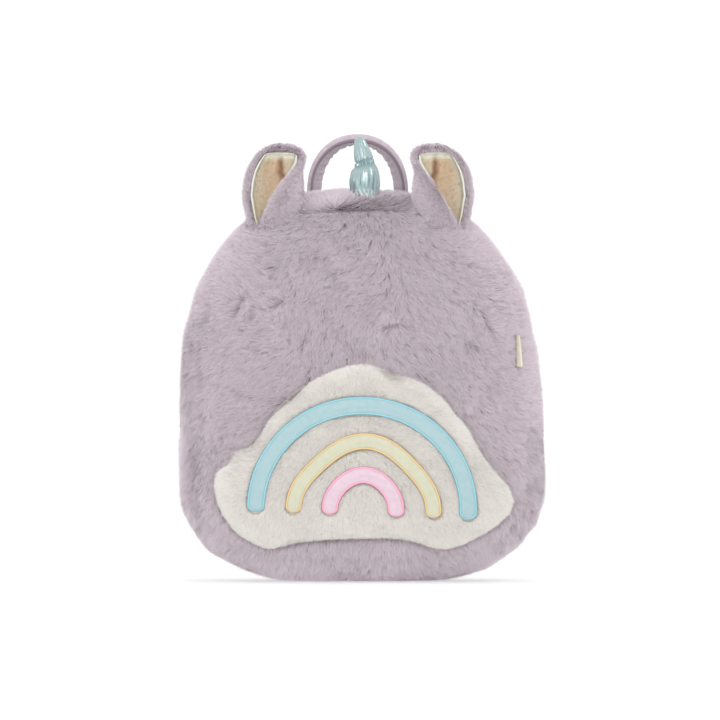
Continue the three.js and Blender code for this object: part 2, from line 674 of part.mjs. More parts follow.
function earLining(side) {
  const levels = EAR_SECTIONS.map((row) => row.up).filter((up) => up > LINING_BOTTOM && up < LINING_TOP);
  const rows = [LINING_BOTTOM, ...levels, LINING_TOP].map((up) => earSection(blendSections(up)));
  const shares = steps(LINING_MARGIN, 1 - LINING_MARGIN, EAR_STEPS);
  const at = (below) => (row, share) => {
    const cup = row.cup - below / row.halfDepth;
    return mirrored(earPoint(row, share, EAR_PILE + below, cup), side);
  };
  return thickSheet(gridOf(rows, shares, at(0)), gridOf(rows, shares, at(LINING_THICK)));
}

function horn() {
  const loops = HORN_SECTIONS.map((row) =>
    Array.from({ length: HORN_SIDES }, (_, i) => {
      const angle = (2 * Math.PI * i) / HORN_SIDES;
      const radius = HORN_RADIUS * row.radius * (1 + (i % 2 ? -HORN_FLUTE : HORN_FLUTE));
      return new THREE.Vector3(
        HORN_PLACE.across + HORN_RADIUS * row.sway + radius * Math.cos(angle),
        -HORN_PLACE.ahead + radius * Math.sin(angle),
        HORN_PLACE.height + HORN_HEIGHT * row.up + HORN_RADIUS * row.tilt * Math.cos(angle),
      );
    }),
  );
  const tip = HORN_SECTIONS[HORN_SECTIONS.length - 1];
  const top = new THREE.Vector3(
    HORN_PLACE.across + HORN_RADIUS * tip.sway,
    -HORN_PLACE.ahead,
    HORN_PLACE.height + HORN_HEIGHT,
  );
  return loft(loops, centreOf(loops[0]), top);
}

function handle() {
  const at = (turn, raised) =>
    HANDLE_EDGES.map(
      (edge) =>
        new THREE.Vector3(
          leanAt(HANDLE_FOOT_HEIGHT) + (HANDLE_SPAN / 2) * edge.across * Math.cos(turn),
          HANDLE_BACK + HANDLE_WIDTH * edge.back,
          HANDLE_FOOT_HEIGHT + HANDLE_RISE * edge.rise * Math.sin(turn) + raised,
        ),
    );
  const turns = steps(0, Math.PI, HANDLE_STEPS);
  return loft([at(0, -ROOT_DEPTH), ...turns.map((turn) => at(turn, 0)), at(Math.PI, -ROOT_DEPTH)]);
}

// Patch and arches

const cloudCurve = new THREE.CatmullRomCurve3(
  CLOUD_OUTLINE.map(
    (p) =>
      new THREE.Vector3(
        PATCH_CENTRE.across + PATCH_WIDTH * p.across,
        0,
        PATCH_CENTRE.height + PATCH_HEIGHT * p.up,
      ),
  ),
  true,
);
const cloudEdge = cloudCurve.getSpacedPoints(CLOUD_EDGE_POINTS);

// How far the patch stands off the front, rounded at its edge and crowned in its middle
function patchRise(x, z) {
  const place = new THREE.Vector3(x, 0, z);
  const inside = Math.min(...cloudEdge.map((p) => p.distanceTo(place)));
  const edge = 1 - Math.min(inside / PATCH_EDGE_ROUND, 1);
  const crown = Math.min(inside / PATCH_CROWN_REACH, 1);
  return PATCH_PAD * Math.sqrt(1 - edge * edge) + PATCH_CROWN * (1 - (1 - crown) ** 2);
}

function patchSkin(x, z) {
  return frontSkin(x, z) - patchRise(x, z);
}

function cloudPatch(skin) {
  const rim = cloudCurve.getSpacedPoints(PATCH_AROUND).slice(0, -1);
  const at = (lift) => (share, p) => {
    const x = lerp(PATCH_CENTRE.across, p.x, share);
    const z = lerp(PATCH_CENTRE.height, p.z, share);
    return new THREE.Vector3(x, lift ? patchSkin(x, z) : frontSkin(x, z) + ROOT_DEPTH / 2, z);
  };
  const outside = gridOf([0, ...PATCH_RINGS], rim, at(true));
  const root = gridOf(PATCH_ROOT_RINGS, rim, at(false));
  return trimmed(thickSheet(outside, root, { ring: true, pole: true }), skin);
}

function arch(row, patch) {
  const tilt = radians(-ARCH_TILT);
  const place = (x, z) => [
    ARCH_BASE.across + row.shift * PATCH_WIDTH + x * Math.cos(tilt) - z * Math.sin(tilt),
    ARCH_BASE.height + x * Math.sin(tilt) + z * Math.cos(tilt),
  ];
  const loopAt = (middle, side, half) => {
    const across = [-1, 0, 1].map((s) => place(middle.x + side.x * half * s, middle.y + side.y * half * s));
    const rises = [ARCH_EDGE_RISE, ARCH_RISE, ARCH_EDGE_RISE];
    const top = across.map(([x, z], i) => new THREE.Vector3(x, patchSkin(x, z) - rises[i], z));
    const under = across.map(([x, z]) => new THREE.Vector3(x, patchSkin(x, z) + ARCH_RISE, z));
    return [...top, ...under.reverse()];
  };
  const halfSpan = row.halfSpan * PATCH_WIDTH;
  const half = (row.band * PATCH_WIDTH) / 2;
  const middleAt = (turn) => {
    const reach = 1 - row.drawnIn * Math.sin(2 * turn) ** 2;
    const rise = row.rise * PATCH_HEIGHT;
    return new THREE.Vector2(halfSpan * Math.cos(turn) * reach, rise * Math.sin(turn) * reach);
  };
  const loops = [];
  const endTurns = steps(radians(ARCH_END_TURN), 0, ARCH_END_STEPS).slice(0, -1);
  for (const turn of endTurns) {
    const middle = new THREE.Vector2(halfSpan, -half * Math.sin(turn));
    loops.push(loopAt(middle, new THREE.Vector2(1, 0), half * Math.cos(turn)));
  }
  for (const turn of steps(0, Math.PI, ARCH_STEPS)) {
    const along = middleAt(turn + ARCH_PROBE).sub(middleAt(turn - ARCH_PROBE)).normalize();
    loops.push(loopAt(middleAt(turn), new THREE.Vector2(along.y, -along.x), half));
  }
  for (const turn of endTurns.reverse()) {
    const middle = new THREE.Vector2(-halfSpan, -half * Math.sin(turn));
    loops.push(loopAt(middle, new THREE.Vector2(-1, 0), half * Math.cos(turn)));
  }
  return trimmed(loft(loops), patch);
}

function sideLabel(skin) {
  const height = (angle) => frontSeam(angle).z - LABEL_CENTRE_HEIGHT;
  const seam = frontSeam(crossing(-Math.PI / 2, Math.PI / 2, height));
  const root = bodyPoint(seam.x, -FRONT_SEAM_DEPTH, seam.z);
  const turn = radians(LABEL_TURN);
  const out = new THREE.Vector3(Math.sin(turn), -Math.cos(turn), 0);
  const side = new THREE.Vector3(Math.cos(turn), Math.sin(turn), 0);
  const loops = [-ROOT_DEPTH / 2, LABEL_REACH / 2, LABEL_REACH].map((reach, i) =>
    [
      [-1, -1],
      [1, -1],
      [1, 1],
      [-1, 1],
    ].map(([s, h]) => {
      const thick = i === 2 ? LABEL_THICK / 3 : LABEL_THICK / 2;
      const point = root.clone().addScaledVector(out, reach).addScaledVector(side, s * thick);
      return point.setZ(root.z + (h * LABEL_HEIGHT) / 2);
    }),
  );
  return trimmed(loft(loops), skin);
}

// Straps

const strapRoute = new THREE.CatmullRomCurve3(
  STRAP_ROUTE.map((p) => {
    const z = p.up * BODY_HEIGHT;
    const skin = (BACK_SEAM_DEPTH + BACK_DOME) * depthShare(z);
    return new THREE.Vector3((p.across * BODY_WIDTH) / 2, skin + p.off * STRAP_STAND_OFF, z);
  }),
  false,
  "centripetal",
);

function strapFrame(share) {
  const along = strapRoute.getTangentAt(share);
  const place = strapRoute.getPointAt(share);
  const side = new THREE.Vector3(1, 0, 0).addScaledVector(along, -along.x).normalize();
  return { place, along, side, out: new THREE.Vector3().crossVectors(side, along) };
}

function strapLoop(share, width, thick) {
  const frame = strapFrame(share);
  return Array.from({ length: STRAP_SIDES }, (_, i) => {
    const angle = (2 * Math.PI * (i + 0.5)) / STRAP_SIDES;
    const across = Math.sign(Math.cos(angle)) * Math.abs(Math.cos(angle)) ** STRAP_SQUARENESS.across;
    const over = Math.sign(Math.sin(angle)) * Math.abs(Math.sin(angle)) ** STRAP_SQUARENESS.over;
    return frame.place
      .clone()
      .addScaledVector(frame.side, (across * width) / 2)
      .addScaledVector(frame.out, (over * thick) / 2);
  });
}

function sided(loops, side) {
  return loops.map((loop) => loop.map((p) => new THREE.Vector3(side * p.x, p.y, p.z)));
}

const routeLength = strapRoute.getLength();
const adjusterStart = PAD_END_SHARE + CLEARANCE / routeLength;
const adjusterEnd = adjusterStart + ADJUSTER_LENGTH / routeLength;

function shoulderStrap(side, skin) {
  const shares = steps(0, PAD_END_SHARE, STRAP_STEPS);
  const loops = shares.map((share) => strapLoop(share, STRAP_WIDTH, STRAP_THICK));
  return trimmed(loft(sided(loops, side)), skin);
}

function strapAdjuster(side) {
  const shares = steps(adjusterStart, adjusterEnd, 2);
  const loops = shares.map((share) => strapLoop(share, ADJUSTER_WIDTH, ADJUSTER_THICK));
  return loft(sided(loops, side));
}

function strapWebbing(side, skin) {
  const shares = steps(adjusterEnd + CLEARANCE / routeLength, 1, WEBBING_STEPS);
  const loops = shares.map((share) => strapLoop(share, WEBBING_WIDTH, WEBBING_THICK));
  return trimmed(loft(sided(loops, side)), skin);
}

// Assembly

function cloth(colour, roughness) {
  return new THREE.MeshStandardMaterial({ color: colour, roughness, metalness: 0 });
}

const fur = cloth(0xbfb2b9, 1);
const bagCloth = cloth(0xb9acb6, 0.9);
const cream = cloth(0xd9d5cc, 1);
const satin = cloth(0xd6c9b4, 0.6);
const shiny = new THREE.MeshStandardMaterial({ color: 0xabc6c8, roughness: 0.35, metalness: 0.35 });
const plastic = cloth(0xb5a8b1, 0.5);
const tag = cloth(0xd8cec0, 0.8);

const bag = new THREE.Group();

function add(name, geometry, material) {
  const piece = new THREE.Mesh(geometry, material);
  piece.name = name;
  bag.add(piece);
}

const skin = bodySkin();
const patch = cloudPatch(skin);

add("front_panel", frontPanel(), fur);
add("lower_gusset", gussetBand(lowerAngles, gussetShares), fur);
add("zip_gusset_front", gussetBand(upperAngles, sharesBeforeZip), fur);
add("zip_gusset_back", gussetBand(upperAngles, sharesAfterZip), fur);
add("zip_tape", zipTape(), bagCloth);
add("zip_slider", zipSlider(), plastic);
add("back_panel", backPanel(), bagCloth);
add("handle", trimmed(handle(), skin), bagCloth);
add("horn", trimmed(horn(), skin), shiny);
add("cloud_patch", patch, cream);
for (const row of ARCHES) add(row.name, arch(row, patch), cloth(row.colour, 0.9));
add("side_label", sideLabel(skin), tag);
for (const [word, side] of [["left", -1], ["right", 1]]) {
  add(`ear_${word}`, trimmed(ear(side), skin), fur);
  add(`ear_lining_${word}`, trimmed(earLining(side), skin, ear(side)), satin);
  add(`shoulder_strap_${word}`, shoulderStrap(side, skin), bagCloth);
  add(`strap_adjuster_${word}`, strapAdjuster(side), plastic);
  add(`strap_webbing_${word}`, strapWebbing(side, skin), bagCloth);
}

// The origin is the middle of the whole thing, on the floor
const box = new THREE.Box3().setFromObject(bag);
const middle = box.getCenter(new THREE.Vector3());
bag.position.set(-middle.x, -middle.y, -box.min.z);

const backpack = new THREE.Group();
backpack.add(bag);

export default backpack;
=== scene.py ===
"""A young child's plush backpack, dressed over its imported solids. Sizes in the tables are in millimetres."""

import math

import bpy
import numpy as np
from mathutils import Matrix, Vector
from mathutils.bvhtree import BVHTree
from mathutils.kdtree import KDTree


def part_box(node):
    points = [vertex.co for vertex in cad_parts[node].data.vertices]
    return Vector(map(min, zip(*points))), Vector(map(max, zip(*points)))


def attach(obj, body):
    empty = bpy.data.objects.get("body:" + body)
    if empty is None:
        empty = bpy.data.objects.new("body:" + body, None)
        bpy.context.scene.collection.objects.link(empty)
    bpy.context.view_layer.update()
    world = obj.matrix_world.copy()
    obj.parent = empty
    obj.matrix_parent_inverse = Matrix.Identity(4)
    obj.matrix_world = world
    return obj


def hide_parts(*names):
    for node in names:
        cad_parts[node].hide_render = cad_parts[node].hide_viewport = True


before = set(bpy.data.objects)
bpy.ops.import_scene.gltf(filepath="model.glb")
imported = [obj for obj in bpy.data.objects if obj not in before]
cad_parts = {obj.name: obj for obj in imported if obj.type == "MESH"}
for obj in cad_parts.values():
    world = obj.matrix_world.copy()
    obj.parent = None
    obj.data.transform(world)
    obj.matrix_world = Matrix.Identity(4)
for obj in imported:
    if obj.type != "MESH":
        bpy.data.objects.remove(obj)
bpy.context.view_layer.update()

MM = 0.001
BODY = "root"
PHOTO_PX = 720
MM_PER_PX = 0.7
CAMERA_DISTANCE = 4.0
CAMERA_AIM = (-0.00105, 0.1547)  # x and z of the photograph's middle

# The solids' own sizes

BODY_WIDTH = 256
BODY_HEIGHT = 273.5
WIDEST_HEIGHT = 75
UPPER_POWER = 2.78
LOWER_POWER = 2.6
BASE_PRESS = 2.5
BODY_LEAN = 4
TOP_THINNING = 0.15
FRONT_SEAM_DEPTH = 42
BACK_SEAM_DEPTH = 38
FRONT_DOME = 16
BACK_DOME = 4
DOME_POWER = 2.2
DOME_ROUNDING = 0.6
GUSSET_ROUNDING = 0.6
FRONT_SEAM_INSET = (15, 12, 21)  # side, top, bottom
BACK_SEAM_INSET = (9, 9, 10)
PANEL_CENTRE_HEIGHT = 105
HANDLE_FOOT_HEIGHT = 272.7
HANDLE_RISE = 40.5
HANDLE_BACK = 6
BAND_JOIN_HEIGHT = 92


def lean_at(z):
    return BODY_LEAN * (WIDEST_HEIGHT - z) / BODY_HEIGHT


def depth_share(z):
    return 1 - TOP_THINNING * z / BODY_HEIGHT


low, high = (np.array(corner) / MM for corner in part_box("handle"))
SHIFT = np.array(
    [
        (low[0] + high[0]) / 2 - lean_at(HANDLE_FOOT_HEIGHT),
        low[1] - HANDLE_BACK,
        high[2] - HANDLE_FOOT_HEIGHT - HANDLE_RISE,
    ]
)


def placed(points):
    """Points of the upright model in millimetres, in the row's frame in metres."""
    return (np.asarray(points, float) + SHIFT) * MM


def unit(vectors):
    return vectors / np.maximum(np.linalg.norm(vectors, axis=-1, keepdims=True), 1e-12)


def outline(angle, inset):
    above = np.sin(angle) >= 0
    power = np.where(above, UPPER_POWER, LOWER_POWER)
    half = BODY_WIDTH / 2
    reach = np.where(above, BODY_HEIGHT - WIDEST_HEIGHT, WIDEST_HEIGHT + BASE_PRESS)
    u, v = np.cos(angle), np.sin(angle)
    radius = (np.abs(u) ** power + np.abs(v) ** power) ** (-1 / power)
    nx = np.sign(u) * np.abs(radius * u) ** (power - 1) / half
    nz = np.sign(v) * np.abs(radius * v) ** (power - 1) / reach
    length = np.hypot(nx, nz)
    return (
        half * radius * u - inset * nx / length,
        WIDEST_HEIGHT + reach * radius * v - inset * nz / length,
    )


def seam_inset(angle, seam):
    up = np.sin(angle)
    side, top, bottom = seam
    return side + (np.where(up > 0, top, bottom) - side) * up * up


def gusset_inset(angle, share):
    front = seam_inset(angle, FRONT_SEAM_INSET)
    seams = front + (seam_inset(angle, BACK_SEAM_INSET) - front) * share
    return seams * (1 - (4 * share * (1 - share)) ** GUSSET_ROUNDING)


def dome(height, share):
    return height * (1 - np.minimum(share, 1) ** DOME_POWER) ** DOME_ROUNDING


turns = np.linspace(-1.5 * np.pi, 0.5 * np.pi, 4001)
seam_x, seam_z = outline(turns, seam_inset(turns, FRONT_SEAM_INSET))
seam_turn = np.unwrap(np.arctan2(seam_z - PANEL_CENTRE_HEIGHT, seam_x))
seam_reach = np.hypot(seam_x, seam_z - PANEL_CENTRE_HEIGHT)


def front_skin(place_x, z):
    """The smooth front's y at places seen from the front."""
    x = place_x - lean_at(z)
    turn = np.arctan2(z - PANEL_CENTRE_HEIGHT, x)
    first = seam_turn[0]
    reach = np.interp((turn - first) % (2 * np.pi) + first, seam_turn, seam_reach)
    share = np.hypot(x, z - PANEL_CENTRE_HEIGHT) / reach
    return -(FRONT_SEAM_DEPTH + dome(FRONT_DOME, share)) * depth_share(z)


def between(a, b, start, end, s):
    """The point at s on the line that has a at its start and b at its end."""
    return (end - s) / (end - start) * a + (s - start) / (end - start) * b


def through(knots, closed, count):
    """Centripetal curve through knots, as many points evenly spread along it."""
    knots = np.asarray(knots, float)
    n = len(knots)
    if closed:
        around = [knots[i % n] for i in range(-1, n + 2)]
    else:
        around = [2 * knots[0] - knots[1], *knots, 2 * knots[-1] - knots[-2]]
    fine = []
    for i in range(n if closed else n - 1):
        p = around[i : i + 4]
        t = np.cumsum([0] + [max(np.linalg.norm(p[k + 1] - p[k]), 1e-9) ** 0.5 for k in range(3)])
        for s in np.linspace(t[1], t[2], 24, endpoint=False):
            a = [between(p[k], p[k + 1], t[k], t[k + 1], s) for k in range(3)]
            b = [between(a[k], a[k + 1], t[k], t[k + 2], s) for k in range(2)]
            fine.append(between(b[0], b[1], t[1], t[2], s))
    fine.append(knots[0] if closed else knots[-1])
    fine = np.array(fine)
    along = np.r_[0, np.cumsum(np.linalg.norm(np.diff(fine, axis=0), axis=1))]
    wanted = np.linspace(0, along[-1], count, endpoint=not closed)
    return np.stack([np.interp(wanted, along, fine[:, k]) for k in range(fine.shape[1])], 1)


PATCH_WIDTH = 207
PATCH_HEIGHT = 127
PATCH_CENTRE = np.array([1.75, 87.5])
PATCH_PAD = 7
PATCH_CROWN = 3.5
PATCH_EDGE_ROUND = 8
PATCH_CROWN_REACH = 55
CLOUD_OUTLINE = [
    (0.01, 0.503), (0.115, 0.456), (0.204, 0.389), (0.287, 0.265), (0.349, 0.141), (0.39, 0.017),
    (0.439, -0.085), (0.486, -0.164), (0.501, -0.22), (0.486, -0.3), (0.39, -0.423), (0.252, -0.502),
    (0.163, -0.457), (0.08, -0.44), (-0.092, -0.445), (-0.237, -0.473), (-0.313, -0.496),
    (-0.423, -0.412), (-0.472, -0.309), (-0.499, -0.175), (-0.492, -0.085), (-0.451, -0.035),
    (-0.437, 0.028), (-0.396, 0.051), (-0.348, 0.118), (-0.306, 0.243), (-0.251, 0.333),
    (-0.182, 0.412), (-0.092, 0.473),
]
cloud_edge = through(np.array(CLOUD_OUTLINE) * (PATCH_WIDTH, PATCH_HEIGHT) + PATCH_CENTRE, True, 312)


def patch_skin(x, z):
    """The patch's outer y at places seen from the front."""
    flat = np.stack([np.ravel(x), np.ravel(z)], 1)
    inside = np.array([np.hypot(*(cloud_edge - p).T).min() for p in flat]).reshape(np.shape(x))
    edge = 1 - np.minimum(inside / PATCH_EDGE_ROUND, 1)
    crown = np.minimum(inside / PATCH_CROWN_REACH, 1)
    rise = PATCH_PAD * np.sqrt(1 - edge * edge) + PATCH_CROWN * (1 - (1 - crown) ** 2)
    return front_skin(x, z) - rise


# Colours and materials


def srgb(*values):
    linear = [v / 255 / 12.92 if v <= 10 else ((v / 255 + 0.055) / 1.055) ** 2.4 for v in values]
    return (*linear, 1.0)


def new_material(name, colour, roughness=0.9, **sockets):
    made = bpy.data.materials.new(name)
    made.use_nodes = True
    shader = made.node_tree.nodes["Principled BSDF"]
    shader.inputs["Base Color"].default_value = colour
    shader.inputs["Roughness"].default_value = roughness
    for socket, value in sockets.items():
        shader.inputs[socket.replace("_", " ")].default_value = value
    return made


def node(made, kind, **settings):
    found = made.node_tree.nodes.new(kind)
    for key, value in settings.items():
        if key in found.inputs:
            found.inputs[key].default_value = value
        else:
            setattr(found, key, value)
    return found


def link(made, source, target):
    made.node_tree.links.new(source, target)


def ramp(made, fac, stops):
    found = node(made, "ShaderNodeValToRGB")
    elements = found.color_ramp.elements
    while len(elements) < len(stops):
        elements.new(0.5)
    for element, (place, colour) in zip(elements, stops):
        element.position = place
        element.color = colour
    link(made, fac, found.inputs["Fac"])
    return found.outputs["Color"]


def shader_of(made):
    return made.node_tree.nodes["Principled BSDF"]


def multiply(made, first, second):
    mix = node(made, "ShaderNodeMix", data_type="RGBA", blend_type="MULTIPLY")
    mix.inputs["Factor"].default_value = 1
    link(made, first, mix.inputs["A"])
    link(made, second, mix.inputs["B"])
    return mix.outputs["Result"]


def fur_material(name, root, middle, tip, sheen):
    """A strand's colour runs up its map, darker at the root as painted shade deep in the pile, and its own
    tone runs across it.
    """
    made = new_material(name, middle, 0.95, Sheen_Weight=sheen, Sheen_Roughness=0.6, Specular_IOR_Level=0.15)
    places = node(made, "ShaderNodeUVMap", uv_map="OFBake")
    axes = node(made, "ShaderNodeSeparateXYZ")
    link(made, places.outputs["UV"], axes.inputs["Vector"])
    along = ramp(made, axes.outputs["Y"], [(0, root), (0.45, middle), (1, tip)])
    tones = [(0, (0.55, 0.5, 0.54, 1)), (0.5, (0.92, 0.91, 0.92, 1)), (1, (1, 1, 1, 1))]
    tone = ramp(made, axes.outputs["X"], tones)
    link(made, multiply(made, along, tone), shader_of(made).inputs["Base Color"])
    return made


def mottled(name, dark, light, size, roughness=0.95, bump=0.3, bump_size=None, **sockets):
    made = new_material(name, light, roughness, **sockets)
    places = node(made, "ShaderNodeTexCoord")
    noise = node(made, "ShaderNodeTexNoise", Scale=1 / size, Detail=5)
    link(made, places.outputs["Object"], noise.inputs["Vector"])
    tint = ramp(made, noise.outputs["Fac"], [(0.3, dark), (0.7, light)])
    link(made, tint, shader_of(made).inputs["Base Color"])
    fine = node(made, "ShaderNodeTexNoise", Scale=1 / (bump_size or size), Detail=4)
    link(made, places.outputs["Object"], fine.inputs["Vector"])
    relief = node(made, "ShaderNodeBump", Strength=bump, Distance=0.0004)
    link(made, fine.outputs["Fac"], relief.inputs["Height"])
    link(made, relief.outputs["Normal"], shader_of(made).inputs["Normal"])
    return made


def woven(name, dark, light, pitch, roughness=0.8, bump=0.5, **sockets):
    """Cloth whose threads cross at the pitch, in metres."""
    made = new_material(name, light, roughness, **sockets)
    places = node(made, "ShaderNodeTexCoord")
    waves = []
    for direction in ("DIAGONAL", "Z"):
        wave = node(made, "ShaderNodeTexWave", bands_direction=direction, Scale=0.31416 / pitch)
        wave.inputs["Distortion"].default_value = 0.6
        link(made, places.outputs["Object"], wave.inputs["Vector"])
        waves.append(wave.outputs["Fac"])
    both = node(made, "ShaderNodeMath", operation="MULTIPLY")
    link(made, waves[0], both.inputs[0])
    link(made, waves[1], both.inputs[1])
    noise = node(made, "ShaderNodeTexNoise", Scale=260, Detail=4)
    link(made, places.outputs["Object"], noise.inputs["Vector"])
    tint = node(made, "ShaderNodeMath", operation="MULTIPLY_ADD")
    link(made, both.outputs[0], tint.inputs[0])
    tint.inputs[1].default_value = 0.35
    link(made, noise.outputs["Fac"], tint.inputs[2])
    colour = ramp(made, tint.outputs[0], [(0.2, dark), (0.95, light)])
    link(made, colour, shader_of(made).inputs["Base Color"])
    relief = node(made, "ShaderNodeBump", Strength=bump, Distance=0.0003)
    link(made, both.outputs[0], relief.inputs["Height"])
    link(made, relief.outputs["Normal"], shader_of(made).inputs["Normal"])
    return made


# The root colours are darker than the tips: painted shade deep in the pile.
FUR = fur_material("lavender_fur", srgb(181, 167, 176), srgb(212, 200, 207), srgb(231, 221, 227), 0.2)
PLUSH = fur_material("cream_plush", srgb(222, 217, 206), srgb(240, 237, 230), srgb(247, 245, 240), 0.15)
# The backings are painted darker than the strands, as shade showing in the gaps between them.
FUR_SHADE_BACKING = mottled("fur_backing_painted_shade", srgb(140, 124, 136), srgb(165, 149, 160), 0.004)
PLUSH_SHADE_BACKING = mottled("plush_backing_painted_shade", srgb(222, 217, 206), srgb(232, 228, 218), 0.003)

# Meshes


def add_piece(name, points, faces, surface, nodes=(), places=None):
    mesh = bpy.data.meshes.new(name)
    mesh.from_pydata([tuple(p) for p in points], [], [tuple(f) for f in faces])
    mesh.materials.append(surface)
    mesh.shade_smooth()
    if places is not None:
        layer = mesh.uv_layers.new(name="OFBake")
        corners = np.empty(len(mesh.loops), int)
        mesh.loops.foreach_get("vertex_index", corners)
        layer.data.foreach_set("uv", np.asarray(places, float)[corners].ravel())
    made = bpy.data.objects.new(name, mesh)
    bpy.context.collection.objects.link(made)
    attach(made, BODY)
    if nodes:
        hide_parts(*nodes)
    return made


def loft(loops, ring=False):
    """Points and faces of a skin over closed loops, with a fan on each end or closed on itself."""
    loops = np.asarray(loops)
    levels, around = loops.shape[:2]
    points = loops.reshape(-1, 3)
    faces = []
    for level in range(levels if ring else levels - 1):
        a, b = level * around, (level + 1) % levels * around
        for i in range(around):
            j = (i + 1) % around
            faces.append((a + i, a + j, b + j, b + i))
    if not ring:
        first, last = len(points), len(points) + 1
        points = np.vstack([points, loops[0].mean(0), loops[-1].mean(0)])
        end = (levels - 1) * around
        for i in range(around):
            j = (i + 1) % around
            faces.append((j, i, first))
            faces.append((end + i, end + j, last))
    return points, faces


def node_surface(name):
    """A solid's points, merged, and its triangles, in metres."""
    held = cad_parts[name]
    mesh = held.data
    mesh.calc_loop_triangles()
    points = np.empty(3 * len(mesh.vertices))
    mesh.vertices.foreach_get("co", points)
    matrix = np.array(held.matrix_world)
    points = points.reshape(-1, 3) @ matrix[:3, :3].T + matrix[:3, 3]
    corners = np.empty(3 * len(mesh.loop_triangles), int)
    mesh.loop_triangles.foreach_get("vertices", corners)
    merged, back = np.unique(np.round(points, 6), axis=0, return_inverse=True)
    faces = back.ravel()[corners].reshape(-1, 3)
    kept = (faces[:, 0] != faces[:, 1]) & (faces[:, 1] != faces[:, 2]) & (faces[:, 0] != faces[:, 2])
    return merged, faces[kept]


surfaces = {name: node_surface(name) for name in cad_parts}


def tree_of(names):
    points, faces, start = [], [], 0
    for name in names:
        own, around = surfaces[name]
        points.extend(own.tolist())
        faces.extend((around + start).tolist())
        start += len(own)
    return BVHTree.FromPolygons(points, faces)


SHELL = ["front_panel", "lower_gusset", "zip_gusset_front", "zip_gusset_back", "back_panel", "zip_tape"]
inner_tree = tree_of(SHELL + ["ear_lining_left", "ear_lining_right"])
whole_tree = tree_of(surfaces)
NEAR = 0.012
COVER = 0.0025
BODY_MIDDLE = np.array([0, 0, 0.12])


def blocked(tree, points, normals, reach):
    """Which points have something within reach along their normals."""
    starts = points + normals * 1e-4
    hits = [tree.ray_cast(Vector(p), Vector(n), reach)[0] for p, n in zip(starts, normals)]
    return np.array([hit is not None for hit in hits])


def open_side(name):
    """A solid's faces that show from outside, with normals and areas, and smooth normals at its points."""
    points, faces = surfaces[name]
    corners = points[faces]
    cross = np.cross(corners[:, 1] - corners[:, 0], corners[:, 2] - corners[:, 0])
    area = np.linalg.norm(cross, axis=1) / 2
    normal = unit(cross)
    middle = corners.mean(1)
    shown = ~blocked(inner_tree, middle, normal, NEAR) & (area > 1e-9)
    if name in SHELL:
        shown &= ((middle - BODY_MIDDLE) * normal).sum(1) > 0
    smooth = np.zeros_like(points)
    for k in range(3):
        np.add.at(smooth, faces[shown, k], cross[shown])
    return points, faces[shown], normal[shown], area[shown], unit(smooth)


def waves(points, size, seed, count=7):
    """Smooth noise of about unit height, with features of that size in metres."""
    draw = np.random.default_rng(seed)
    across = unit(draw.normal(size=(count, 3))) / (size * draw.uniform(0.7, 1.5, (count, 1)))
    phase = draw.uniform(0, 2 * np.pi, count)
    return np.sin(2 * np.pi * points @ across.T + phase).sum(1) / math.sqrt(count / 2)


# Partings of the front fur: place in the photograph's pixels, direction in degrees, length and strength; the
# strength also darkens the strands there, as painted shade
PARTINGS = [
    (485, 322, -60, 12, 0.9), (470, 345, -35, 9, 0.8), (430, 344, 10, 8, 0.7), (392, 326, 20, 8, 0.6),
    (309, 377, 80, 10, 1.0), (420, 374, -30, 8, 0.7), (262, 397, -12, 18, 0.8), (285, 401, 20, 10, 0.6),
    (256, 316, 70, 8, 0.5), (245, 300, 20, 8, 0.6), (535, 450, 90, 10, 0.5), (365, 350, -20, 9, 0.8),
    (350, 270, 15, 10, 0.4), (277, 266, 10, 5, 0.6), (283, 302, 30, 6, 0.6), (322, 255, 5, 10, 0.4),
    (440, 412, 40, 8, 0.5), (500, 400, 0, 9, 0.4), (232, 345, 60, 9, 0.4), (305, 338, 70, 8, 0.4),
    (203, 350, 85, 14, 0.6), (330, 330, 10, 8, 0.5), (455, 300, -10, 8, 0.5), (400, 285, 10, 9, 0.4),
    (465, 265, -15, 9, 0.4), (500, 455, -10, 8, 0.5), (268, 350, -20, 9, 0.4), (228, 430, 80, 9, 0.4),
    (209, 308, 76, 12, 0.8), (203, 375, 90, 16, 0.9), (202, 412, 92, 14, 0.7), (240, 308, 70, 9, 0.5),
]


def partings(points, normals):
    """How far each point lies in a parting, and the way its strands fall from it."""
    depth = np.zeros(len(points))
    push = np.zeros_like(points)
    facing = np.clip(-normals[:, 1] * 2 - 0.4, 0, 1)
    for px, py, turn, length, strength in PARTINGS:
        x = (px - PHOTO_PX / 2) * MM_PER_PX * MM + CAMERA_AIM[0]
        z = (PHOTO_PX / 2 - py) * MM_PER_PX * MM + CAMERA_AIM[1]
        c, s = math.cos(math.radians(turn)), math.sin(math.radians(turn))
        right, up = points[:, 0] - x, points[:, 2] - z
        along = (right * c + up * s) / (length * MM)
        over = up * c - right * s
        near = facing * strength * 0.35 * np.exp(-(along**2) - (over / (6 * MM)) ** 2)
        core = facing * strength * 0.4 * np.exp(-(along**2) - (over / (2.6 * MM)) ** 2)
        depth = np.maximum(depth, core)
        push += (near * np.sign(over))[:, None] * np.array([-s, 0, c])
    return depth, push


ZIP_Y = 0.0065
# Where the fur stands fuller or flatter: place in the photograph's pixels, size and rise in millimetres
FLUFF = [
    (200, 290, 22, 1.2), (516, 285, 22, 1.3), (184, 340, 22, 1.4), (177, 416, 20, -2.0),
    (205, 548, 14, 1.8), (184, 506, 12, -0.8), (536, 520, 12, -0.8), (364, 190, 9, -1.4),
]


def fullness(points):
    rise = np.zeros(len(points))
    for px, py, size, height in FLUFF:
        x = (px - PHOTO_PX / 2) * MM_PER_PX * MM + CAMERA_AIM[0]
        z = (PHOTO_PX / 2 - py) * MM_PER_PX * MM + CAMERA_AIM[1]
        rise += height * MM * np.exp(-((points[:, 0] - x) ** 2 + (points[:, 2] - z) ** 2) / (size * MM) ** 2)
    return rise


BAG_COMB_CENTRE = (0, 0, 0.165)


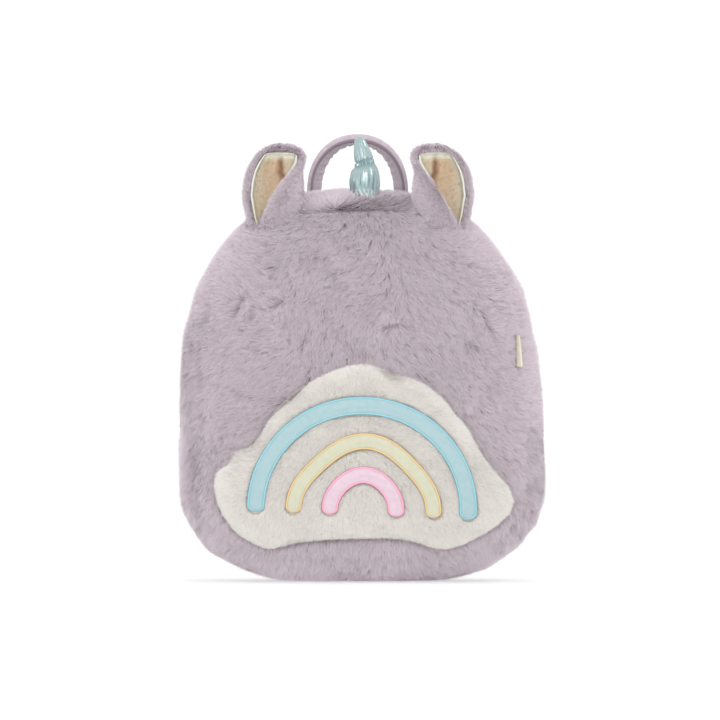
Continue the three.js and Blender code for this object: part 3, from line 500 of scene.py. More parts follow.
def comb_bag(points, normals):
    """Down and outwards from the middle of the front, with swirls, and towards the zip at the top."""
    out = unit(points - BAG_COMB_CENTRE) * (1, 0.4, 0.4)
    swirl = np.stack([waves(points, 0.08, seed) for seed in (1, 2, 3)], 1)
    way = out * 0.75 + np.array([0, 0.05, -0.5]) + swirl * 0.25
    on_top = np.clip(normals[:, 2], 0, 1)
    way[:, 1] += 0.6 * on_top * np.sign(ZIP_Y - points[:, 1])
    return way


def fur(name, node_name, count, surface, seed, backing, shape, comb, parted=False):
    """Strands over a solid's open side, rooted in a backing that stands for the solid."""
    points, faces, face_normal, area, smooth = open_side(node_name)
    draw = np.random.default_rng(seed)
    chosen = draw.choice(len(faces), count, p=area / area.sum())
    a, b = draw.random(count), draw.random(count)
    flip = a + b > 1
    a, b = np.where(flip, 1 - a, a), np.where(flip, 1 - b, b)
    share = np.stack([1 - a - b, a, b], 1)
    corner, bend = points[faces[chosen]], smooth[faces[chosen]]
    flat = (corner * share[:, :, None]).sum(1)
    kept = ~blocked(whole_tree, flat, face_normal[chosen], COVER)
    corner, bend, flat, share = corner[kept], bend[kept], flat[kept], share[kept]
    off = ((flat[:, None] - corner) * bend).sum(2, keepdims=True)
    place = 0.25 * flat + 0.75 * ((flat[:, None] - off * bend) * share[:, :, None]).sum(1)
    normal = unit((bend * share[:, :, None]).sum(1))
    total = len(place)

    heads = draw.choice(total, max(total // shape["clump"], 1), replace=False)
    tree = KDTree(len(heads))
    for i, head in enumerate(heads):
        tree.insert(Vector(place[head]), i)
    tree.balance()
    own = np.array([tree.find(Vector(p))[1] for p in place])

    depth, push = partings(place, normal) if parted else (np.zeros(total), np.zeros((total, 3)))
    way = comb(place, normal) + 1.6 * push
    way -= (way * normal).sum(1, keepdims=True) * normal
    way = unit(way)
    turned = draw.normal(0, shape["clump_turn"], len(heads))[own] + draw.normal(0, shape["turn"], total)
    sideways = np.cross(normal, way)
    way = way * np.cos(turned)[:, None] + sideways * np.sin(turned)[:, None]

    low, high = shape["proud"]
    height = low + (high - low) * draw.random(total) ** 1.3
    height += shape["rough"] * (waves(place, 0.02, seed + 1) * 0.5 + draw.normal(0, 0.5, len(heads))[own])
    height -= shape["deep"] * 0.3 * depth
    corner_turn = 2 * np.abs(normal[:, 0] * normal[:, 2])
    height -= shape["corner"] * corner_turn**3
    height += fullness(place)
    reach = shape["lay"] * draw.uniform(0.75, 1.2, total)
    beside_zip = np.clip((np.abs(place[:, 1] - ZIP_Y) - 0.004) / 0.007, 0.3, 1)
    reach *= np.where(place[:, 2] > BAND_JOIN_HEIGHT * MM, beside_zip, 1)
    root = place - normal * shape["deep"]
    tip = place + normal * height[:, None] + way * reach[:, None]
    tip += (tip[heads][own] - tip) * shape["pull"]
    along = unit(tip - root)
    side = unit(np.cross(along, normal))
    twist = draw.normal(0, 0.25, total)[:, None]
    side = side * np.cos(twist) + np.cross(along, side) * np.sin(twist)
    half = (shape["width"] / 2 * draw.uniform(0.7, 1.3, total))[:, None]
    strands = np.stack([root - side * half, root + side * half, tip], 1)
    strands[:, :, 2] = np.maximum(strands[:, :, 2], 0.0003)

    tone = 0.62 + shape["tone"] * (waves(place, 0.016, seed + 2) + 0.9 * draw.normal(0, 1, len(heads))[own])
    # Strands in a parting are darkened as painted shade; the rest of the tone varies at random.
    tone = np.clip(tone + draw.normal(0, 0.13, total) - 0.5 * depth, 0.01, 0.96)
    u = tone[:, None] + np.array([0, 0.03, 0.015])
    uv = np.stack([u, np.broadcast_to([0.0, 0.0, 1.0], (total, 3))], 2)

    mesh = bpy.data.meshes.new(name)
    mesh.vertices.add(3 * total)
    mesh.vertices.foreach_set("co", strands.ravel())
    mesh.loops.add(3 * total)
    mesh.loops.foreach_set("vertex_index", np.arange(3 * total))
    mesh.polygons.add(total)
    mesh.polygons.foreach_set("loop_start", 3 * np.arange(total))
    mesh.uv_layers.new(name="OFBake").data.foreach_set("uv", uv.ravel())
    mesh.update(calc_edges=True)
    mesh.materials.append(surface)
    made = bpy.data.objects.new(name, mesh)
    bpy.context.collection.objects.link(made)
    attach(made, BODY)

    all_points, all_faces = surfaces[node_name]
    moved = all_points - smooth * shape["deep"]
    add_piece(node_name + "_backing", moved, all_faces, backing, [node_name])


# proud is how far the tips stand off the skin, deep how far below it the roots lie
BAG_FUR = dict(
    deep=4.6 * MM, proud=(-0.9 * MM, 1.9 * MM), corner=1.4 * MM, lay=6.6 * MM, width=0.52 * MM,
    rough=0.3 * MM, clump=40, clump_turn=0.2, turn=0.34, pull=0.16, tone=0.045,
)
EAR_FUR = dict(
    deep=2.6 * MM, proud=(-1.5 * MM, 0.9 * MM), corner=0, lay=2.2 * MM, width=0.42 * MM,
    rough=0.2 * MM, clump=40, clump_turn=0.3, turn=0.6, pull=0.1, tone=0.05,
)
PATCH_FUR = dict(
    deep=2.6 * MM, proud=(-0.3 * MM, 0.9 * MM), corner=0, lay=3.5 * MM, width=0.42 * MM,
    rough=0.1 * MM, clump=30, clump_turn=0.1, turn=0.3, pull=0.1, tone=0.04,
)
for node_name, count, seed in (
    ("front_panel", 198000, 11),
    ("zip_gusset_front", 105000, 12),
    ("zip_gusset_back", 52000, 13),
    ("lower_gusset", 115000, 14),
):
    fur(node_name + "_fur", node_name, count, FUR, seed, FUR_SHADE_BACKING, BAG_FUR, comb_bag, True)


EAR_STRANDS = 42000
EAR_MIDDLE_ASIDE = (0.0595, 0, 0)
EAR_MIDDLE = (0, -0.0295, 0.275)


def comb_ear(points, normals):
    swirl = np.stack([waves(points, 0.03, seed) for seed in (4, 5, 6)], 1)
    out = points - (np.sign(points[:, :1]) * EAR_MIDDLE_ASIDE + EAR_MIDDLE)
    return unit(out) * (0.7, 0.2, 0.5) + np.array([0, 0.1, -0.25]) + swirl * 0.3


for side_name in ("left", "right"):
    ear = "ear_" + side_name
    fur(ear + "_fur", ear, EAR_STRANDS, FUR, 21, FUR_SHADE_BACKING, EAR_FUR, comb_ear)


PATCH_STRANDS = 145000
PATCH_COMB_CENTRE = (0, 0, 0.09)


def comb_patch(points, normals):
    out = unit(points - PATCH_COMB_CENTRE) * (1, 0.3, 1)
    swirl = np.stack([waves(points, 0.04, seed) for seed in (7, 8, 9)], 1)
    return out * 0.8 + np.array([0, 0, -0.3]) + swirl * 0.16


fur("cloud_patch_fur", "cloud_patch", PATCH_STRANDS, PLUSH, 31, PLUSH_SHADE_BACKING, PATCH_FUR, comb_patch)

# Arches with satin-stitched edges

ARCH_BASE = np.array([0.2, 51.8])
ARCH_TILT = math.radians(-2.2)
# In each row, the thread's two colours are its painted shade and its painted highlight.
ARCHES = {  # shift, half span, rise, band, share drawn in, and the cloth's and the thread's colours
    "arch_blue": (0, 73.3, 71.5, 12.6, 0, (161, 186, 190), (145, 175, 180), (50, 112, 126), (136, 190, 202)),
    "arch_yellow": (
        *(1, 48.2, 47, 11.6, 0.08),
        *((196, 196, 175), (184, 184, 160), (140, 98, 50), (212, 182, 130)),
    ),
    "arch_pink": (
        *(0.6, 22.8, 23.7, 11.7, 0.028),
        *((210, 191, 201), (199, 174, 187), (180, 84, 118), (230, 160, 186)),
    ),
}
BORDER_HALF_WIDTH = 0.95
BORDER_HALF_HEIGHT = 0.75
STITCH_PITCH = 0.5


def arch_place(x, z):
    c, s = math.cos(ARCH_TILT), math.sin(ARCH_TILT)
    return ARCH_BASE[0] + x * c - z * s, ARCH_BASE[1] + x * s + z * c


def arch_lines(span, rise, drawn, half, across, cap_steps, steps):
    """Points along a band at a share of its half width: down one end, over the arch and down the other."""

    def middle(turn):
        reach = 1 - drawn * math.sin(2 * turn) ** 2
        return np.array([span * math.cos(turn), rise * math.sin(turn)]) * reach

    points = []
    for turn in np.linspace(1.45, 0, cap_steps, endpoint=False):
        points.append((span + across * half * math.cos(turn), -0.7 * half * math.sin(turn)))
    for turn in np.linspace(0, np.pi, steps):
        along = middle(turn + 0.001) - middle(turn - 0.001)
        points.append(middle(turn) + np.array([along[1], -along[0]]) / np.hypot(*along) * across * half)
    for turn in np.linspace(0, 1.45, cap_steps + 1)[1:]:
        points.append((-span - across * half * math.cos(turn), -0.7 * half * math.sin(turn)))
    return np.array(points)


def dense(path, pitch):
    """A closed path as evenly spaced points."""
    closed_path = np.vstack([path, path[:1]])
    along = np.r_[0, np.cumsum(np.linalg.norm(np.diff(closed_path, axis=0), axis=1))]
    count = int(along[-1] / pitch) // 2 * 2
    wanted = np.linspace(0, along[-1], count, endpoint=False)
    return np.stack([np.interp(wanted, along, closed_path[:, k]) for k in (0, 1)], 1)


def arch(name, shift, span, rise, band, drawn, light, dark, edge_shaded, edge_lit):
    half = band / 2
    across = np.linspace(-1, 1, 15)
    lines = np.stack([arch_lines(span, rise, drawn, half - BORDER_HALF_WIDTH, s, 8, 120) for s in across], 1)
    x, z = arch_place(shift + lines[..., 0], lines[..., 1])
    surface = patch_skin(x, z)
    spread = np.broadcast_to(across, x.shape)
    flat = placed(np.stack([x, surface, z], -1).reshape(-1, 3))
    puff = 0.55 + 1.0 * (1 - np.abs(spread) ** 3)
    soft = (0.16 * waves(flat, 0.012, 41) + 0.07 * waves(flat, 0.004, 42)).reshape(x.shape)
    row = np.linspace(-1, 1, len(x))[:, None]
    crease = 0.5 * np.exp(-((row / 0.3) ** 2) - ((spread + 0.35 + 0.15 * np.sin(9 * row)) / 0.14) ** 2)
    outer = np.stack([x, surface - puff - soft * (1 - spread**4) + crease, z], -1)
    under = np.stack([x, surface + 0.8, z], -1)[:, ::-1][:, ::7]
    points, faces = loft(placed(np.concatenate([outer, under], 1)))
    cloth = woven(name + "_cloth", srgb(*dark), srgb(*light), 0.0007, 0.75, 0.35, Sheen_Weight=0.15)
    add_piece(name + "_band", points, faces, cloth, [name])

    edge = half - BORDER_HALF_WIDTH
    sides = [arch_lines(span, rise, drawn, edge, side, 8, 160) for side in (1, -1)]
    loop = np.vstack([sides[0], sides[1][::-1]])
    loop = dense(loop, STITCH_PITCH / 2)
    x, z = arch_place(shift + loop[:, 0], loop[:, 1])
    path = np.stack([x, z], 1)
    along = np.roll(path, -1, 0) - np.roll(path, 1, 0)
    along /= np.hypot(*along.T)[:, None]
    aside = np.stack([along[:, 1], -along[:, 0]], 1)
    surface = patch_skin(x, z) - 0.55
    ridge = np.where(np.arange(len(path)) % 2, 0.84, 1.0)
    slant = STITCH_PITCH * 0.8
    rings = []
    for turn in np.linspace(0, 2 * np.pi, 8, endpoint=False):
        over, up = math.cos(turn), math.sin(turn)
        shift = along * slant * over
        side = aside * (BORDER_HALF_WIDTH * over * ridge)[:, None] + shift
        y = surface - BORDER_HALF_HEIGHT * up * ridge
        rings.append(np.stack([path[:, 0] + side[:, 0], y, path[:, 1] + side[:, 1]], 1))
    points, faces = loft(placed(np.stack(rings, 1)), ring=True)
    # The thread is painted lighter along the top of its tube as painted highlight, and darker at its sides as
    # painted shade.
    thread_lit_share = np.tile(0.5 + 0.5 * np.sin(np.linspace(0, 2 * np.pi, 8, endpoint=False)), len(path))
    runs = np.repeat(np.linspace(0, 1, len(path)), 8)
    thread = new_material(name + "_thread", srgb(*edge_lit), 0.45, Sheen_Weight=0.2)
    uv = node(thread, "ShaderNodeUVMap", uv_map="OFBake")
    axes = node(thread, "ShaderNodeSeparateXYZ")
    link(thread, uv.outputs["UV"], axes.inputs["Vector"])
    shade = ramp(thread, axes.outputs["Y"], [(0.62, srgb(*edge_shaded)), (0.9, srgb(*edge_lit))])
    link(thread, shade, shader_of(thread).inputs["Base Color"])
    add_piece(name + "_border", points, faces, thread, places=np.stack([runs, thread_lit_share], 1))


for arch_name, row in ARCHES.items():
    arch(arch_name, *row)

def blend_to(made, first, second, factor):
    """first, turned towards the colour second by a factor socket."""
    mix = node(made, "ShaderNodeMix", data_type="RGBA")
    link(made, factor, mix.inputs["Factor"])
    link(made, first, mix.inputs["A"])
    mix.inputs["B"].default_value = second
    return mix.outputs["Result"]


def map_axes(made):
    places = node(made, "ShaderNodeUVMap", uv_map="OFBake")
    axes = node(made, "ShaderNodeSeparateXYZ")
    link(made, places.outputs["UV"], axes.inputs["Vector"])
    return axes.outputs["X"], axes.outputs["Y"]


def add_relief(made, size, strength, distance=0.0003):
    places = node(made, "ShaderNodeTexCoord")
    fine = node(made, "ShaderNodeTexNoise", Scale=1 / size, Detail=4)
    link(made, places.outputs["Object"], fine.inputs["Vector"])
    relief = node(made, "ShaderNodeBump", Strength=strength, Distance=distance)
    link(made, fine.outputs["Fac"], relief.inputs["Height"])
    link(made, relief.outputs["Normal"], shader_of(made).inputs["Normal"])


def grid_map(rows, columns):
    """Map places for a grid: across on the first axis, rows on the second."""
    u = np.tile(np.linspace(0, 1, columns), rows)
    v = np.repeat(np.linspace(0, 1, rows), columns)
    return np.stack([u, v], 1)


MAP_ENDS = [[0.5, 0], [0.5, 1]]  # map places of a loft's two end points


def thick_sheet(front, back):
    """A closed solid from two grids of points, front outwards, with the rims joined."""
    rows, columns = front.shape[:2]
    points = np.vstack([front.reshape(-1, 3), back.reshape(-1, 3)])
    n = rows * columns
    faces = []
    for r in range(rows - 1):
        for c in range(columns - 1):
            a, b = r * columns + c, (r + 1) * columns + c
            faces.append((a, a + 1, b + 1, b))
            faces.append((n + b, n + b + 1, n + a + 1, n + a))
    rim = [(0, c) for c in range(columns - 1)] + [(r, columns - 1) for r in range(rows - 1)]
    rim += [(rows - 1, c) for c in range(columns - 1, 0, -1)] + [(r, 0) for r in range(rows - 1, 0, -1)]
    ids = [r * columns + c for r, c in rim]
    for i, a in enumerate(ids):
        b = ids[(i + 1) % len(ids)]
        faces.append((b, a, n + a, n + b))
    return points, faces


# Ear linings

EAR_WIDTH = 44
EAR_HEIGHT = 58
EAR_DEPTH = 22
EAR_PILE = 5.5
EAR_FOOT = (-80.64, 246.5, 29.5)  # outer rim, lowest point, axis
EAR_RIM_ANGLE = math.radians(200)
EAR_SECTIONS = np.array(
    [  # up, outer, inner, fold, deep, cup
        (-0.16, 0.17, 0.93, 0.3, 0.7, 0.4),
        (0.03, 0.1, 0.95, 0.28, 0.85, 0.5),
        (0.13, 0.06, 0.96, 0.33, 0.95, 0.54),
        (0.38, 0.0, 0.99, 0.49, 1.0, 0.58),
        (0.54, 0.02, 0.985, 0.65, 1.0, 0.58),
        (0.67, 0.06, 0.965, 0.82, 0.92, 0.55),
        (0.78, 0.13, 1.0, 0.95, 0.8, 0.48),
        (0.88, 0.22, 1.0, 1.0, 0.62, 0.32),
        (0.95, 0.34, 0.94, 0.94, 0.46, 0.1),
        (1.0, 0.5, 0.8, 0.8, 0.3, 0.06),
    ]
)
LINING_TOP = 0.905
LINING_BOTTOM = 0.03
LINING_CORNER = 0.06  # how much lower its top is at its two edges

satin = new_material("ear_satin", srgb(208, 196, 174), 0.5, Sheen_Weight=0.25)
across_map, up_map = map_axes(satin)
# Across the lining: lighter at both edges as painted highlight, darker in the middle and in a dark band at the
# fold as painted shade.
lit_and_shaded_strip = ramp(
    satin,
    across_map,
    [
        (0.0, srgb(216, 219, 209)),
        (0.07, srgb(210, 208, 193)),
        (0.16, srgb(203, 192, 171)),
        (0.3, srgb(193, 171, 144)),
        (0.45, srgb(195, 169, 140)),
        (0.5, srgb(166, 132, 102)),
        (0.525, srgb(140, 102, 74)),
        (0.56, srgb(174, 142, 112)),
        (0.6, srgb(204, 188, 164)),
        (0.85, srgb(206, 190, 164)),
        (1.0, srgb(208, 208, 194)),
    ],
)
# Whiter towards the top rim: painted highlight.
rim_highlight_share = ramp(satin, up_map, [(0.0, (0, 0, 0, 1)), (0.88, (0, 0, 0, 1)), (0.96, (0.8, 0.8, 0.8, 1))])
lit_rim = blend_to(satin, lit_and_shaded_strip, srgb(206, 208, 194), rim_highlight_share)
FOOT_FADE = [(0.0, (0.9, 0.9, 0.9, 1)), (0.3, (0.15, 0.15, 0.15, 1)), (0.45, (0, 0, 0, 1))]
foot_share = ramp(satin, up_map, FOOT_FADE)
link(satin, blend_to(satin, lit_rim, srgb(212, 196, 160), foot_share), shader_of(satin).inputs["Base Color"])
add_relief(satin, 0.002, 0.15)


LINING_STRANDS = 9000


def ear_lining(word, side):
    rows, columns = 60, 57
    share = np.linspace(0.02, 0.98, columns)[None]
    top = LINING_TOP - LINING_CORNER * np.abs(2 * share - 1) ** 3
    up = LINING_BOTTOM + np.linspace(0, 1, rows)[:, None] * (top - LINING_BOTTOM)
    columns_at = [np.interp(up, EAR_SECTIONS[:, 0], EAR_SECTIONS[:, k]) for k in range(1, 6)]
    outer, inner, fold, deep, cup = columns_at
    middle = EAR_WIDTH * (outer + inner) / 2
    half = EAR_WIDTH * (inner - outer) / 2
    deep = EAR_DEPTH * deep / 2
    turn = -np.arccos(np.minimum((EAR_WIDTH * fold - middle) / half, 1))
    angle = EAR_RIM_ANGLE + (turn - EAR_RIM_ANGLE) * share
    fade = np.clip((up - 0.2) / 0.2, 0, 1) * np.clip((0.86 - up) / 0.1, 0, 1)
    crease = 1.0 * np.exp(-(((share - 0.46) / 0.05) ** 2)) - 1.1 * np.exp(-(((share - 0.525) / 0.016) ** 2))
    crease += 0.6 * np.exp(-(((share - 0.58) / 0.03) ** 2))
    soft = 0.25 * np.sin(19 * share + 2.5 * up) + 0.15 * np.sin(37 * share - 4 * up + 1)
    hem = 0.2 * np.clip((up - top + 0.035) / 0.02, 0, 1)

    def at(below):
        x = middle + (half - EAR_PILE - below) * np.cos(angle)
        y = (deep * cup - below) * np.sin(angle)
        points = np.stack([EAR_FOOT[0] + x, y - EAR_FOOT[2], EAR_FOOT[1] + EAR_HEIGHT * up], -1)
        points[..., 0] = lean_at(EAR_FOOT[1]) - side * points[..., 0]
        return placed(points.reshape(-1, 3)).reshape(points.shape)

    front, back = at(1.2 + crease * fade + soft + hem), at(0.1)
    if side < 0:
        front, back = front[:, ::-1], back[:, ::-1]
    points, faces = thick_sheet(front, back)
    places = grid_map(rows, columns)
    if side < 0:
        places[:, 0] = 1 - places[:, 0]
    name = "ear_lining_" + word
    add_piece(name + "_cloth", points, faces, satin, [name], places=np.vstack([places, places]))

    draw = np.random.default_rng(61)
    r = rows * draw.random(LINING_STRANDS) ** 0.8 * 0.98
    c = columns * draw.random(LINING_STRANDS) * 0.98
    edge = np.abs(c / columns - 0.5) > 0.42
    i, j = r.astype(int).clip(1, rows - 2), c.astype(int).clip(1, columns - 2)
    up_way, over_way = unit(front[i + 1, j] - front[i - 1, j]), unit(front[i, j + 1] - front[i, j - 1])
    out = unit(np.cross(over_way, up_way))
    out *= np.sign(-out[:, 1:2])
    spot = front[i, j] + (front[i, (j + 1).clip(0, columns - 1)] - front[i, j]) * (c - j)[:, None].clip(0, 1)
    spread = np.where(edge, np.sign(c / columns - 0.5) * 0.9, 0)[:, None] * over_way
    lift = np.where(r[:, None] > rows * 0.93, 0.9, -0.5) * up_way
    lean = unit(draw.normal(0, 0.35, (LINING_STRANDS, 3)) + spread + lift)
    tip = spot + out * 0.5 * MM + lean * draw.uniform(0.9, 1.9, (LINING_STRANDS, 1)) * MM
    thin = unit(np.cross(lean, out)) * 0.17 * MM
    pile = np.stack([spot - thin - out * 0.4 * MM, spot + thin - out * 0.4 * MM, tip], 1).reshape(-1, 3)
    corners = np.tile([[0, 0], [0.004, 0], [0.002, 0.004]], (LINING_STRANDS, 1))
    at_map = places[i * columns + j].repeat(3, axis=0) + corners
    faces = np.arange(3 * LINING_STRANDS).reshape(-1, 3)
    add_piece(name + "_pile", pile, faces, satin, places=at_map)


ear_lining("left", -1)
ear_lining("right", 1)

# Horn

HORN_HEIGHT = 41.4
HORN_RADIUS = 10.6
HORN_PLACE = (2.1, 15, 269.5)
HORN_ROUND = 0.06  # share of its height that rounds off the tip
HORN_SECTIONS = [  # up, radius, sway, tilt
    (-0.16, 0.8, 0, 0),
    (0.02, 0.88, 0, 0),
    (0.09, 0.94, 0, 0),
    (0.25, 1.0, 0, 0),
    (0.36, 0.93, 0, 0.03),
    (0.45, 0.8, -0.01, 0.1),
    (0.52, 0.63, -0.03, 0.16),
    (0.58, 0.57, -0.05, 0.16),
    (0.64, 0.61, -0.08, 0.1),
    (0.75, 0.54, -0.15, 0.03),
    (0.87, 0.41, -0.26, 0),
    (1.0, 0.22, -0.34, 0),
]

foil = new_material("horn_satin", srgb(160, 184, 185), 0.24, Metallic=0.5, Sheen_Weight=0.3, Coat_Weight=0.3)
_, up_map = map_axes(foil)
# Bands up the horn: a lighter band over the base scallops as painted highlight, and darker bands at the foot,
# just above the scallops and at the waist gathers as painted shade.
tones = ramp(
    foil,
    up_map,
    [
        (0.0, srgb(140, 163, 164)),
        (0.12, srgb(164, 184, 184)),
        (0.18, srgb(184, 200, 199)),
        (0.24, srgb(142, 163, 165)),
        (0.5, srgb(156, 176, 177)),
        (0.585, srgb(122, 147, 150)),
        (0.65, srgb(158, 178, 179)),
        (1.0, srgb(152, 173, 175)),
    ],
)
link(foil, tones, shader_of(foil).inputs["Base Color"])
add_relief(foil, 0.003, 0.4, 0.0005)


def horn():
    levels, sides = 132, 96
    curve = through(HORN_SECTIONS, False, 600)
    up = np.linspace(-0.16, 1, levels)[:, None]
    radius, sway, tilt = (np.interp(up, curve[:, 0], curve[:, k]) for k in (1, 2, 3))
    radius = radius * np.sqrt(1 - np.clip((up - 1 + HORN_ROUND) / HORN_ROUND, 0, 0.998) ** 2)
    turn = np.linspace(0, 2 * np.pi, sides, endpoint=False)[None]
    base = np.exp(-(((up - 0.045) / 0.045) ** 2))
    scallop = base * (0.1 * np.abs(np.sin(9.5 * turn + 0.8 + 8 * up)) - 0.07)
    zigzag = up - 0.575 - 0.012 * np.abs((turn * 11 / np.pi) % 2 - 1)
    tie = -0.1 * np.exp(-((zigzag / 0.012) ** 2))
    gathers = 0.08 * np.exp(-(((up - 0.56) / 0.06) ** 2)) * np.cos(15 * turn + 2 * np.sin(3 * turn))
    lower = np.clip((up - 0.05) / 0.1, 0, 1) * np.clip((0.58 - up) / 0.15, 0, 1)
    deep_folds = 0.034 * np.cos(9 * turn + 1.5 * np.sin(2 * turn) + 5 * up)
    folds = lower * (deep_folds + 0.02 * np.cos(17 * turn - 6 * up))
    upper = np.clip((up - 0.6) / 0.08, 0, 1)
    folds = folds + upper * (0.03 * np.cos(5 * turn + 3 * up) + 0.015 * np.cos(11 * turn + 9 * up))
    reach = HORN_RADIUS * (radius + (scallop + tie + gathers + folds) * np.minimum(radius / 0.3, 1))
    x = HORN_PLACE[0] + HORN_RADIUS * sway + reach * np.cos(turn)
    y = -HORN_PLACE[1] + reach * np.sin(turn)
    z = HORN_PLACE[2] + HORN_HEIGHT * up + HORN_RADIUS * tilt * np.cos(turn)
    points, faces = loft(placed(np.stack([x, y, z], -1)))
    places = np.vstack([grid_map(levels, sides), MAP_ENDS])
    piece = add_piece("horn_cloth", points, faces, foil, ["horn"], places=places)


horn()

# Handle

HANDLE_SPAN = 71
HANDLE_WIDTH = 16
HANDLE_EDGES = [  # across, rise, back
    (0.935, 0.915, 0.0),
    (0.915, 0.875, 0.03),
    (0.82, 0.84, 0.5),
    (0.72, 0.83, 1.0),
    (0.81, 0.9, 1.0),
    (0.92, 0.955, 0.5),
    (0.965, 0.965, 0.03),
]
HANDLE_ROOT = 9
SEAM_PLACES = (274.6, 280.6)  # heights of the two cross seams near each foot

trim = new_material("handle_cloth", srgb(190, 178, 185), 0.9, Sheen_Weight=0.25)
_, over_map = map_axes(trim)
# Around the strap: darker at both ends of the loop, where the face meets the piping, as painted shade in the
# fold.
face_tone_and_fold_shade = ramp(
    trim,
    over_map,
    [
        (0.0, srgb(150, 132, 144)),
        (0.05, srgb(140, 122, 134)),
        (0.12, srgb(192, 178, 187)),
        (0.4, srgb(200, 187, 195)),
        (0.5, srgb(196, 184, 191)),
        (0.9, srgb(196, 184, 191)),
        (1.0, srgb(160, 142, 154)),
    ],
)
link(trim, face_tone_and_fold_shade, shader_of(trim).inputs["Base Color"])
add_relief(trim, 0.0009, 0.3)
PIPING_TONES = (srgb(176, 161, 171), srgb(194, 181, 190))
PIPING = mottled("handle_piping", *PIPING_TONES, 0.003, 0.9, 0.25, 0.0008, Sheen_Weight=0.3)


def handle():
    steps, around = 260, 48
    raised = np.zeros(steps)
    raised[:10] = np.linspace(-HANDLE_ROOT, 0, 10, endpoint=False)
    raised[-10:] = np.linspace(0, -HANDLE_ROOT, 11)[1:]
    turn = np.r_[np.zeros(10), np.linspace(0, np.pi, steps - 20), np.full(10, np.pi)]
    edge = through(HANDLE_EDGES, True, around)
    c, s = np.cos(turn)[:, None], np.sin(turn)[:, None]
    c, s = np.sign(c) * np.abs(c) ** 0.93, np.maximum(s, 0) ** 0.93
    span, rise = HANDLE_SPAN / 2, HANDLE_RISE
    x = span * edge[None, :, 0] * c
    y = np.broadcast_to(HANDLE_WIDTH * edge[None, :, 2], x.shape)
    z = HANDLE_FOOT_HEIGHT + rise * edge[None, :, 1] * s + raised[:, None]
    inward = np.stack([-c * rise, -s * span], -1)
    inward /= np.linalg.norm(inward, axis=-1, keepdims=True)
    face = np.clip(1 - np.abs(np.arange(around) / around - 0.32) / 0.24, 0, 1)[None] ** 0.6
    far = edge[None, :, 2]
    run = turn[:, None] * 52
    wrinkle = 0.45 * np.sin(run * 0.62 + 0.8 * np.sin(run * 0.21) + 2 * far)
    wrinkle = wrinkle + 0.2 * np.sin(run * 1.13 + 3 * far + 1)
    above_feet = np.clip((z - SEAM_PLACES[1] - HANDLE_FOOT_HEIGHT + 272.7) / 8, 0, 1)
    push = face * (0.15 + far) * wrinkle * above_feet
    for height in SEAM_PLACES:
        push = push - face * 0.45 * np.exp(-(((z - height) / 0.6) ** 2))
    x = x + inward[..., 0] * push
    z = z + inward[..., 1] * push
    points = np.stack([lean_at(HANDLE_FOOT_HEIGHT) + x, HANDLE_BACK + y, z], -1)
    points, faces = loft(placed(points))
    along = np.repeat(np.linspace(0, 1, steps), around)
    over = np.tile(np.arange(around) / around, steps)
    places = np.vstack([np.stack([along, over], 1), [[0, 0.5], [1, 0.5]]])
    add_piece("handle_strap", points, faces, trim, ["handle"], places=places)

    sides = np.linspace(0, 2 * np.pi, 16, endpoint=False)[None]
    thin, thick = 0.043, 0.061
    across = 0.957 + thin * np.cos(sides)
    up = 0.939 + thick * np.cos(sides)
    x = lean_at(HANDLE_FOOT_HEIGHT) + span * across * c
    y = np.broadcast_to(HANDLE_BACK + 1.7 - 1.7 * np.sin(sides), x.shape)
    z = HANDLE_FOOT_HEIGHT + rise * up * s + raised[:, None]
    points, faces = loft(placed(np.stack([x, y, z], -1)))
    add_piece("handle_edge", points, faces, PIPING)


handle()

# Label in the front seam, left bare

LABEL_HEIGHT = 22
LABEL_CENTRE_HEIGHT = 161
LABEL_TURN = math.radians(27)
TAPE = woven("label_tape", srgb(206, 196, 178), srgb(228, 220, 204), 0.0005, 0.7, 0.3)


def label():
    right = (seam_x > 0) & (seam_z > 120)
    nearest = np.argmin(np.abs(np.where(right, seam_z, 1e9) - LABEL_CENTRE_HEIGHT))
    root = np.array(
        [
            seam_x[nearest] + lean_at(seam_z[nearest]),
            -FRONT_SEAM_DEPTH * depth_share(seam_z[nearest]),
            seam_z[nearest],
        ]
    )
    out = np.array([math.sin(LABEL_TURN), -math.cos(LABEL_TURN), 0])
    side = np.array([math.cos(LABEL_TURN), math.sin(LABEL_TURN), 0])
    loops = []
    for share in np.linspace(0, 1, 26):
        reach = 8.9 - 4.2 * share
        gap = 1.0 - 0.6 * share
        outer = [(-3, 1), (reach * 0.4, 1), (reach * 0.75, 0.85), (reach * 0.93, 0.55), (reach, 0)]
        shape = [(r, s * gap) for r, s in outer] + [(r, -s * gap) for r, s in outer[-2::-1]]
        inner = [(-2.6, -gap + 0.4), (reach * 0.75, -0.4 * gap), (reach * 0.75, 0.4 * gap), (-2.6, gap - 0.4)]
        shape += [(r - 0.4, s) for r, s in inner]
        loops.append([root + r * out + s * side + (0, 0, LABEL_HEIGHT * (share - 0.5)) for r, s in shape])
    loops = placed(np.array(loops).reshape(-1, 3)).reshape(len(loops), -1, 3)
    points, faces = loft(loops)
    add_piece("side_label_tape", points, faces, TAPE, ["side_label"])


label()

# Zip

ZIP_FRONT_SHARE = 0.56
ZIP_WIDTH = 8
ZIP_SINK = 3.5
ZIP_DEPTH = FRONT_SEAM_DEPTH + BACK_SEAM_DEPTH
ZIP_SHARE = ZIP_FRONT_SHARE + ZIP_WIDTH / ZIP_DEPTH / 2
TOOTH_PITCH = 1.3
SLIDER_HEIGHT = 101

ZIP_CLOTH = woven("zip_cloth", srgb(150, 134, 146), srgb(184, 170, 180), 0.0006, 0.85, 0.5)
TEETH = mottled("zip_teeth", srgb(158, 142, 154), srgb(184, 170, 180), 0.002, 0.4, 0.1)
SLIDER = mottled("slider_finish", srgb(150, 136, 146), srgb(172, 158, 168), 0.004, 0.45, 0.1)


